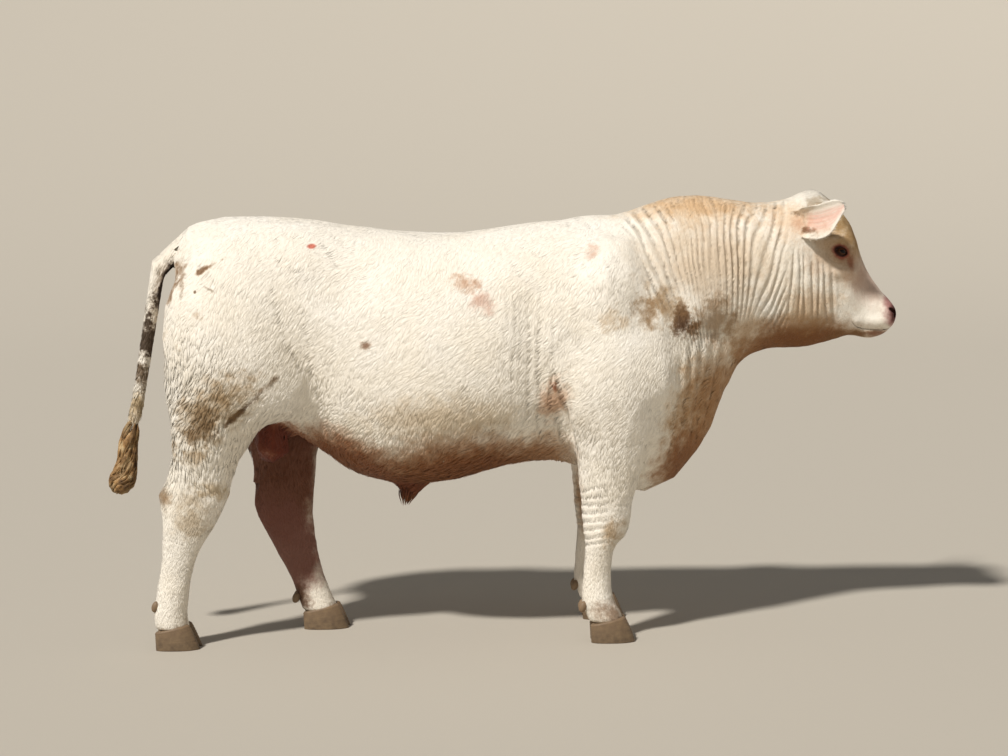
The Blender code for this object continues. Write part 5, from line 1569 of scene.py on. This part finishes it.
def stained_and_shaded_coat():
    """The node group that gives the coat's colour at a point, for skin and tufts alike.

    Cream hair grades to tan on the crest and, partly as painted shade, under the body; it is stained
    where the animal lay and where dung and mud dried on it. Painted shade also darkens the throat,
    chest front, scrotum, eye sockets, muzzle, nostrils and the inner sides of the far legs.
    """
    tree = bpy.data.node_groups.new("coat_markings", "ShaderNodeTree")
    tree.interface.new_socket("Colour", in_out="OUTPUT", socket_type="NodeSocketColor")
    tree.interface.new_socket("Wrinkles", in_out="OUTPUT", socket_type="NodeSocketFloat")
    place = object_place(tree)
    x, y, z = separated(tree, place)
    folded_place = combined(tree, x, maths(tree, "ABSOLUTE", y), z)
    # broken edges: blotches about 40 mm across with 8 mm detail
    broken = maths(tree, "SUBTRACT", noise(tree, place, 22.0, 5.0, 0.68), 0.5)
    # the cream itself varies in clouds about 150 mm across
    colour = mixed(tree, noise(tree, place, 6.0, 3.0), COAT_LIGHT, COAT_WARM)
    # stains and painted shade are mixed on an even scale to the eye, so a thin one stays warm and not
    # grey
    colour = add(tree, "ShaderNodeGamma", None, {0: colour, 1: 1 / EYE_GAMMA}).outputs[0]
    for stain_and_shade in STAINS_AND_SHADE:
        x, y, z = stain_and_shade.centre
        inputs = {0: place, 1: (x, y, z), 2: (0, stain_and_shade.lean, 0), 3: stain_and_shade.radii}
        if not stain_and_shade.side:
            inputs.update({0: folded_place, 1: (x, abs(y), z)})
        local = add(tree, "ShaderNodeMapping", {"vector_type": "TEXTURE"}, inputs).outputs[0]
        away = vector(tree, "LENGTH", local)
        away = maths(tree, "MULTIPLY_ADD", broken, stain_and_shade.ragged * 3.0, away)
        share = remap(tree, away, 1.0, 1.0 - stain_and_shade.soft, 0.0, stain_and_shade.strength, "SMOOTHSTEP")
        own = tuple(v ** (1 / EYE_GAMMA) for v in linear(stain_and_shade.colour))
        colour = mixed(tree, share, colour, own)
    colour = add(tree, "ShaderNodeGamma", None, {0: colour, 1: EYE_GAMMA}).outputs[0]
    # the skin's fine wrinkles, 12 mm apart and drawn out upwards, for the bump of both materials
    wrinkles = noise(tree, scaled(tree, place, 1.0, 0.7, 0.36), 82.0, 3.0, 0.55, 0.7)
    add(tree, "NodeGroupOutput", None, {0: colour, 1: wrinkles})
    return tree


def hide_material(markings):
    """Short-haired hide: dead matte with a faint sheen, its fine hair 3 mm streaks of bump."""
    surface = {"Roughness": 0.78, "Specular_IOR_Level": 0.25, "Sheen_Weight": 0.04}
    made, tree, shader = new_material("short_haired_hide", **surface)
    colour, wrinkles = add(tree, "ShaderNodeGroup", {"node_tree": markings}).outputs[:2]
    fine = noise(tree, object_place(tree), 330.0, 3.0, 0.6)
    colour = mixed(tree, 1.0, colour, remap(tree, fine, 0.3, 0.7, 0.9, 1.03), "MULTIPLY")
    # inside the ears thin pinkish skin shows between pale hairs that run to the tip
    ear_place = stored_vector(tree, "ear_inside")
    inside, across, _ = separated(tree, ear_place)
    hairs = noise(tree, scaled(tree, ear_place, 0.0, 34.0, 3.0), 1.0, 3.0)
    thin = remap(tree, hairs, 0.35, 0.65, 0.75, 0.3)
    middle = remap(tree, maths(tree, "PINGPONG", across, 0.5), 0.05, 0.4, kind="SMOOTHSTEP")
    share = maths(tree, "MULTIPLY", maths(tree, "MULTIPLY", inside, thin), middle)
    colour = mixed(tree, share, colour, "#DF9F8B")
    creased = bumped(tree, wrinkles, 0.5, 0.004)
    cover(tree, shader, colour, bumped(tree, fine, 0.45, 0.0008, creased))
    return made


def strand_streaks(tree, *factors, detail):
    """Hairs drawn as streaks along a tuft or lock, and how far along it a place is, with its tone."""
    strand = stored_vector(tree, "strand")
    _, along, tone = separated(tree, strand)
    return noise(tree, scaled(tree, strand, *factors), 1.6, detail), along, tone


def hair_material(markings):
    """Lying hair in clumps: a little glossier than the hide, in streaks 0.5 mm apart."""
    surface = {"Roughness": 0.62, "Specular_IOR_Level": 0.3, "Sheen_Weight": 0.05}
    made, tree, shader = new_material("cream_coat_hair", **surface)
    colour, wrinkles = add(tree, "ShaderNodeGroup", {"node_tree": markings}).outputs[:2]
    streak, along, tone = strand_streaks(tree, 9.0, 0.9, 1.0, detail=2.0)
    # painted shade: each tuft darker at its root, where it lies under others, and lighter at its tip
    tip = remap(tree, along, 0.0, 0.6, 0.94, 1.02)
    lit = remap(tree, streak, 0.3, 0.7, 0.95, 1.03)
    tone = maths(tree, "MULTIPLY", maths(tree, "MULTIPLY", tip, lit), tone)
    colour = mixed(tree, 1.0, colour, tone, "MULTIPLY")
    creased = bumped(tree, wrinkles, 0.5, 0.004)
    cover(tree, shader, colour, bumped(tree, streak, 0.4, 0.0006, creased))
    return made


def matted_hair_material():
    """Matted tail hair: long and coarse, tan outside and dark brown where mud holds it together."""
    surface = {"Roughness": 0.66, "Specular_IOR_Level": 0.3}
    made, tree, shader = new_material("matted_tail_hair", **surface)
    streak, _, tone = strand_streaks(tree, 14.0, 1.2, 1.0, detail=3.0)
    base = add(tree, "ShaderNodeValToRGB", None, {0: noise(tree, object_place(tree), 38.0, 4.0, 0.6)})
    ends = base.color_ramp.elements
    ends[0].position, ends[0].color = 0.3, linear("#5A4026")
    ends[1].position, ends[1].color = 0.7, linear("#D9BE92")
    ends.new(0.5).color = linear("#A98355")
    tone = maths(tree, "MULTIPLY", remap(tree, streak, 0.3, 0.7, 0.7, 1.12), tone)
    colour = mixed(tree, 1.0, base.outputs[0], tone, "MULTIPLY")
    cover(tree, shader, colour, bumped(tree, streak, 0.7, 0.0012))
    return made


def eye_material():
    """Wet eyeball: glossy, with a dark brown iris round a wide pupil and a rim of pinkish white."""
    surface = {"Roughness": 0.1, "Specular_IOR_Level": 0.15, "IOR": 1.38}
    surface |= {"Coat_Weight": 0.2, "Coat_Roughness": 0.02}
    made, tree, shader = new_material("wet_eye", **surface)
    gaze = stored_vector(tree, "gaze")
    away = vector(tree, "LENGTH", vector(tree, "MULTIPLY", gaze, (1, 1, 0)))
    wide = vector(tree, "LENGTH", vector(tree, "MULTIPLY", gaze, (1, 1.9, 0)))
    iris = mixed(tree, noise(tree, gaze, 9.0, 4.0), "#2A1509", "#5A3317")
    inner = mixed(tree, remap(tree, wide, 0.44, 0.52, 1.0, 0.0), iris, "#070508")
    cover(tree, shader, mixed(tree, remap(tree, away, 0.8, 0.9), inner, "#A98878"))
    return made


def horn_material():
    """Hoof horn: dull, grey-brown, paler at the coronet, with fibres of horn 2 mm apart."""
    made, tree, shader = new_material("hoof_horn", Roughness=0.55, Specular_IOR_Level=0.35)
    place = object_place(tree)
    up = remap(tree, separated(tree, place)[2], 0.01, 0.08)
    base = mixed(tree, up, "#3B3029", "#75604D")
    colour = mixed(tree, noise(tree, place, 60.0, 5.0), base, "#8A7458")
    fibres = noise(tree, scaled(tree, place, 1.0, 1.0, 0.12), 420.0, 3.0)
    cover(tree, shader, colour, bumped(tree, fibres, 0.5, 0.0008))
    return made




def flesh_nodes():
    """The CAD nodes that the skin stands for."""
    return [n for n in frame["nodes"] if not n.startswith(("eye_", "hoof_", "dewclaw_", "tail_switch"))]


def eyeball(side, suffix):
    """A smooth ball with the gaze coordinates that its iris and pupil are drawn on."""
    turn = eye_frame(side)
    centre = on_side(EYE_PLACE, side)
    ball = ellipsoid("eyeball_" + suffix, centre, (EYE_RADIUS,) * 3, turn, 64, 40)
    local = (read(ball.data, "co") - np.array(centre)) @ np.array(turn.to_3x3()) / EYE_RADIUS
    give(ball.data, "gaze", "VECTOR", local)
    ball.data.shade_smooth()
    return ball


def coronet_height(x, middle):
    return CORONET_HEIGHT + CORONET_SLOPE * (x - middle)


def claw(name, rear, front, spread, side, toe):
    """One claw: flat below, sloped at the toe, cut along the coronet, with rings where it grew."""
    middle = (rear + front) / 2
    rings = []
    steps = 26
    for j in range(steps + 1):
        t = j / steps
        heel = rear + 0.002 * (1 - t)
        tip = front + toe * (1 - t) ** 0.9
        centre, half_length = (heel + tip) / 2, (tip - heel) / 2 - 0.001
        half_width = CLAW_HALF_WIDTH + 0.0015 * (1 - t)
        offset = spread + side * (CLAW_SPREAD + 0.0025 * (1 - t))
        swell = 1 + 0.012 * math.sin(math.tau * t * 9) * (0.2 < t < 0.97) - 0.05 * (t > 0.995)
        ring = []
        for turn in round_angles(40):
            x = centre + half_length * swell * signed_power(math.cos(turn), 0.8)
            narrow = 1 - 0.28 * max(math.cos(turn), 0) ** 2
            y = offset + half_width * narrow * swell * signed_power(math.sin(turn), 0.8)
            y -= side * 0.006 * max(math.cos(turn), 0) ** 2
            ring.append(Vector((x, y, t * coronet_height(x, middle))))
        rings.append(ring)
    made = loft(name, rings)
    made.data.shade_smooth()
    return made


def finish_piece(piece, slot, *nodes, material=None):
    """Puts a finished piece on the still body, in the place of its CAD nodes if it has any."""
    if material:
        piece.data.materials.append(material)
    if nodes:
        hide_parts(*nodes)
    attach(piece, "root")


STRAND_VALUES = {"out": "VECTOR", "width": "FLOAT", "along": "FLOAT", "chart": "PAIR", "shade": "FLOAT"}


def strand_mesh(name, strands):
    """Loose lines with a width and an outward way at each point, for the sweep to follow."""
    rows, edges = [], []
    for path, out_ways, width, root, shade in strands:
        first = len(rows)
        for k, (point, out) in enumerate(zip(path, out_ways)):
            share = k / (len(path) - 1)
            full = 0.55 + 0.9 * share if share < 0.5 else 1 - 0.9 * (2 * share - 1) ** 1.6
            rows.append((tuple(point), out, width * full, share, root, shade))
            if k:
                edges.append((first + k - 1, first + k))
    points, *values = zip(*rows)
    mesh = bpy.data.meshes.new(name)
    mesh.from_pydata(points, edges, [])
    for (attribute, kind), value in zip(STRAND_VALUES.items(), values):
        give(mesh, attribute, kind, value)
    return made_object(name, mesh)


def sweep_tree(material):
    """Geometry Nodes that sweep a flat oval along every strand, as wide as the strand says."""
    tree, given = new_tree("sweep_locks", Thickness="Float", Sides="Int")
    lines = add(tree, "GeometryNodeMeshToCurve", None, {0: given["Geometry"]})
    inputs = {"Curve": lines.outputs[0], "Normal": named(tree, "out")}
    upright = add(tree, "GeometryNodeSetCurveNormal", {"mode": "FREE"}, inputs)
    inputs = {"Resolution": given["Sides"], "Radius": 0.5}
    circle = add(tree, "GeometryNodeCurvePrimitiveCircle", None, inputs)
    share = add(tree, "GeometryNodeSplineParameter").outputs[0]
    marked = storing(tree, circle.outputs[0], "around", share, "FLOAT")
    inputs = {"Geometry": marked, "Scale": combined(tree, given["Thickness"], 1.0, 1.0)}
    oval = add(tree, "GeometryNodeTransform", None, inputs)
    inputs = {"Curve": upright.outputs[0], "Profile Curve": oval.outputs[0], "Fill Caps": True}
    inputs["Scale"] = named(tree, "width", "FLOAT")
    swept = add(tree, "GeometryNodeCurveToMesh", None, inputs)
    around, along, shade = [named(tree, n, "FLOAT") for n in ("around", "along", "shade")]
    marked = patch_and_strand(tree, swept.outputs[0], around, along, shade)
    smooth = add(tree, "GeometryNodeSetShadeSmooth", None, {0: marked})
    inputs = {0: smooth.outputs[0], "Material": material}
    finished = add(tree, "GeometryNodeSetMaterial", None, inputs)
    real = add(tree, "GeometryNodeRealizeInstances", None, {0: finished.outputs[0]})
    add(tree, "NodeGroupOutput", None, {0: real.outputs[0]})
    return tree


def swept_locks(name, strands, material, thickness, sides):
    """Flat tapered locks along the strands, as one plain mesh object."""
    lines = strand_mesh(name, strands)
    old = lines.data
    inputs = {"Thickness": thickness, "Sides": sides}
    lines.data = modified(lines, sweep_tree(material), inputs)
    bpy.data.meshes.remove(old)
    take(lines.data, {*STRAND_VALUES, "around"})
    return lines


def switch_strands(line, count, draw):
    """Locks that wind down round the switch, with a rounded knot of them at its end."""
    strands = []
    side = Vector((0, 1, 0))
    for i in range(count):
        reach = draw.uniform(0.22, 0.34)
        start = (1.0 - reach * 0.9) * ((i + 0.5) / count) ** 0.9
        turn = 2.4 * i + draw.uniform(-0.4, 0.4)
        wave = draw.uniform(-0.45, 0.45)
        lift = draw.uniform(0.8, 1.06)
        path, outs = [], []
        for k in range(9):
            t = k / 8
            centre, radius, ahead = along_line(line, start + reach * t)
            angle = turn + 3.8 * reach * t + wave * math.sin(math.pi * t)
            out = side * math.cos(angle) + ahead.cross(side) * math.sin(angle)
            rise = math.sin(min(t * 2.2, 1.0) * math.pi / 2)
            path.append(centre + out * (radius * lift * (0.35 + 0.6 * rise)))
            outs.append(out)
        root = (0.9 + 0.03 * (i % 3), 0.02 + 0.9 * start * 0.1)
        width, shade = draw.uniform(0.01, 0.02), draw.uniform(0.55, 1.15)
        strands.append((path, outs, width, root, shade))
    return strands


def sheath_strands(count, draw):
    """The brush of hair that hangs from the sheath and draws together at its tip."""
    strands = []
    tip_x, tip_z = SHEATH_TIP
    for i in range(count):
        turn = math.tau * (i * 0.618 % 1.0)
        ring = i / count
        out = Vector((math.cos(turn), 0.7 * math.sin(turn), 0))
        root = Vector((-0.31, 0, 0.505 - 0.03 * ring)) + out * (0.034 - 0.022 * ring)
        tip = Vector((tip_x, 0, tip_z)) + out * draw.uniform(0.002, 0.018)
        tip.z += draw.uniform(-0.002, 0.022)
        shares = [k / 6 for k in range(7)]
        bow = [0.01 * math.sin(math.pi * t**0.8) for t in shares]
        path = [root.lerp(tip, t) + out * b for t, b in zip(shares, bow)]
        width, shade = draw.uniform(0.004, 0.009), draw.uniform(0.6, 1.1)
        strands.append((path, [out.normalized()] * 7, width, (0.93, 0.12), shade))
    return strands


class BodySettings(bpy.types.PropertyGroup):
    """The hide's form and colour."""

    voxel: FloatProperty(
        name="Voxel",
        description="Grid size at which the body's forms are fused",
        default=0.006,
        min=0.004,
        max=0.02,
        unit="LENGTH",
    )
    triangles: IntProperty(
        name="Triangles", description="Triangles left in the hide", default=188000, min=20000, max=199000
    )


class CoatSettings(bpy.types.PropertyGroup):
    """The lying hair."""

    density: FloatProperty(
        name="Density", description="Share of the full count of tufts", default=1.0, min=0.0, max=1.5
    )
    length: FloatProperty(
        name="Length", description="Factor on the length of the hair", default=1.0, min=0.2, max=3.0
    )
    width: FloatProperty(
        name="Width", description="Width of a tuft as a share of its length", default=0.18
    )
    thickness: FloatProperty(
        name="Thickness", description="Height of a tuft as a share of its length", default=0.016
    )
    spread: FloatProperty(
        name="Spread",
        description="Most that a tuft turns aside from the lie",
        default=0.24,
        subtype="ANGLE",
    )
    seed: IntProperty(name="Seed", description="Seed of the random draws", default=40)


class StageSettings(bpy.types.PropertyGroup):
    """Floor, light and camera."""

    floor: FloatVectorProperty(
        name="Floor",
        description="Colour of the floor",
        default=linear("#BCB5A8")[:3],
        subtype="COLOR",
        min=0.0,
        max=1.0,
    )
    key: FloatProperty(
        name="Key light", description="Strength of the key light", default=3.7, min=0.0
    )
    fill: FloatProperty(
        name="Fill light", description="Strength of the light from all round", default=0.16, min=0.0
    )


made = {}


class BULL_OT_hide(bpy.types.Operator):
    """Build the hide: body, ears, lids, nostrils, mouth, tail and sheath as one skin"""

    bl_idname = "bull.hide"
    bl_label = "Hide"

    def execute(self, context):
        settings = context.scene.bull_body
        skin, line = skin_form(settings.voxel)
        thin_out(skin, settings.triangles)
        skin.name = "hide"
        dress(skin)
        markings = stained_and_shaded_coat()
        skin.data.materials.clear()
        made.update(skin=skin, switch_line=line, markings=markings)
        finish_piece(skin, "coat_cream", *flesh_nodes(), material=hide_material(markings))
        return {"FINISHED"}


class BULL_OT_eyes(bpy.types.Operator):
    """Build both eyeballs"""

    bl_idname = "bull.eyes"
    bl_label = "Eyes"

    def execute(self, context):
        wet = eye_material()
        for side, suffix in ((1, "left"), (-1, "right")):
            ball = eyeball(side, suffix)
            finish_piece(ball, "eye_dark", "eye_" + suffix, material=wet)
        return {"FINISHED"}


class BULL_OT_hooves(bpy.types.Operator):
    """Build the claws and dewclaws of all four feet"""

    bl_idname = "bull.hooves"
    bl_label = "Hooves"

    def execute(self, context):
        horn = horn_material()
        for suffix, levels, side, back in LEGS:
            coronet, fetlock = levels["coronet"], levels["fetlock"]
            rear, front = coronet.rear - back, coronet.front - back
            spread = side * coronet.spread
            for which, way in (("outer", side), ("inner", -side)):
                name = f"{suffix}_{which}"
                piece = claw("claw_" + name, rear + 0.004, front - 0.003, spread, way, CLAW_TOE)
                finish_piece(piece, "hoof_horn", "hoof_" + name, material=horn)
                x, z = fetlock.rear - back + 0.004, fetlock.height - 0.024
                place, turn = Vector((x, spread + way * 0.023, z)), Matrix.Rotation(0.35, 4, "Y")
                small = ellipsoid("small_claw_" + name, place, DEWCLAW_RADII, turn, 28, 18)
                small.data.shade_smooth()
                finish_piece(small, "hoof_horn", "dewclaw_" + name, material=horn)
        return {"FINISHED"}


class BULL_OT_coat(bpy.types.Operator):
    """Plant the coat's tufts on the hide, region by region"""

    bl_idname = "bull.coat"
    bl_label = "Coat"

    def execute(self, context):
        settings = context.scene.bull_coat
        skin = made["skin"]
        tree = coat_tree(tuft_shapes(), hair_material(made["markings"]))
        for region in range(len(REGIONS)):
            finish_piece(grown_coat(skin, tree, region, settings), "coat_cream")
        take(skin.data, GUIDES)
        return {"FINISHED"}


class BULL_OT_locks(bpy.types.Operator):
    """Wind the tail's switch and hang the hair of the sheath"""

    bl_idname = "bull.locks"
    bl_label = "Locks"

    def execute(self, context):
        draw = random.Random(9)
        strands = switch_strands(made["switch_line"], 240, draw)
        switch = swept_locks("switch", strands, matted_hair_material(), 0.3, 6)
        finish_piece(switch, "tail_hair", "tail_switch")
        hair = hair_material(made["markings"])
        finish_piece(swept_locks("sheath_brush", sheath_strands(60, draw), hair, 0.35, 5), "coat_cream")
        return {"FINISHED"}


def round_backdrop():
    """A flat floor that curves up all round in a wide bowl, too far off to shade the animal."""
    flat, curve = 16.0, 60.0
    profile = [(flat - 2.0, 0.0)]
    for k in range(16):
        turn = math.radians(4 * k)
        profile.append((flat + curve * math.sin(turn), curve * (1 - math.cos(turn))))
    sides = 96
    vertices, faces = [], [tuple(range(sides))]
    for reach, height in profile:
        vertices += [(reach * math.cos(t), reach * math.sin(t), height) for t in round_angles(sides)]
    for low in range(0, (len(profile) - 1) * sides, sides):
        for k in range(sides):
            after = (k + 1) % sides
            faces.append((low + k, low + sides + k, low + sides + after, low + after))
    mesh = bpy.data.meshes.new("floor")
    mesh.from_pydata(vertices, [], faces)
    mesh.shade_smooth()
    return made_object("floor", mesh)


class BULL_OT_stage(bpy.types.Operator):
    """Lay the floor, light it softly and set the camera"""

    bl_idname = "bull.stage"
    bl_label = "Stage"

    def execute(self, context):
        scene = context.scene
        settings = scene.bull_stage
        floor = round_backdrop()
        surface = {"Base_Color": (*settings.floor, 1.0), "Roughness": 0.9}
        floor.data.materials.append(new_material("matt_floor_paint", **surface)[0])
        world = bpy.data.worlds.new("pale_room")
        world.use_nodes = True
        colour, strength = world.node_tree.nodes["Background"].inputs[:2]
        colour.default_value, strength.default_value = linear("#F1F6FF"), settings.fill
        scene.world = world
        sun = bpy.data.lights.new("key", "SUN")
        sun.energy = settings.key
        sun.angle = LIGHT_SOFTNESS
        sun.color = linear("#FFFBF6")[:3]
        lamp = bpy.data.objects.new("key", sun)
        lamp.rotation_euler = Vector(LIGHT_WAY).to_track_quat("-Z", "Y").to_euler()
        scene.collection.objects.link(lamp)
        data = bpy.data.cameras.new("camera")
        data.sensor_width = 36.0
        data.lens = CAMERA_LENS
        camera = bpy.data.objects.new("camera", data)
        camera.location = CAMERA_PLACE
        tilt = Matrix.Rotation(math.radians(90) - CAMERA_PITCH, 3, "X")
        camera.rotation_euler = (tilt @ Matrix.Rotation(-CAMERA_ROLL, 3, "Z")).to_euler()
        scene.collection.objects.link(camera)
        scene.camera = camera
        scene.view_settings.view_transform = "Standard"
        return {"FINISHED"}


class BULL_PT_panel(bpy.types.Panel):
    """Lists the pieces in the sidebar"""

    bl_idname = "BULL_PT_panel"
    bl_label = "Bull"
    bl_space_type = "VIEW_3D"
    bl_region_type = "UI"
    bl_category = "Bull"

    def draw(self, context):
        for operator in OPERATORS:
            self.layout.operator(operator.bl_idname)
        for group in (context.scene.bull_body, context.scene.bull_coat, context.scene.bull_stage):
            for name in group.bl_rna.properties.keys():
                if name not in {"rna_type", "name"}:
                    self.layout.prop(group, name)


OPERATORS = (BULL_OT_hide, BULL_OT_eyes, BULL_OT_hooves, BULL_OT_coat, BULL_OT_locks, BULL_OT_stage)
CLASSES = (BodySettings, CoatSettings, StageSettings, *OPERATORS, BULL_PT_panel)
GROUPS = {"bull_body": BodySettings, "bull_coat": CoatSettings, "bull_stage": StageSettings}

# The way the key light travels: from behind the viewer's left shoulder, down on the near side.
LIGHT_WAY = (0.48, 0.62, -0.88)
LIGHT_SOFTNESS = math.radians(5)
CAMERA_PLACE = (0.008, -6.5, 1.387)
CAMERA_PITCH = math.radians(4.7)
CAMERA_ROLL = 0.0165
CAMERA_LENS = 69.64


def register():
    for cls in CLASSES:
        bpy.utils.register_class(cls)
    for name, group in GROUPS.items():
        setattr(bpy.types.Scene, name, PointerProperty(type=group))


def unregister():
    for name in GROUPS:
        delattr(bpy.types.Scene, name)
    for cls in reversed(CLASSES):
        bpy.utils.unregister_class(cls)


def main():
    register()
    for operator in OPERATORS:
        group, name = operator.bl_idname.split(".")
        getattr(getattr(bpy.ops, group), name)()


if __name__ == "__main__":
    main()
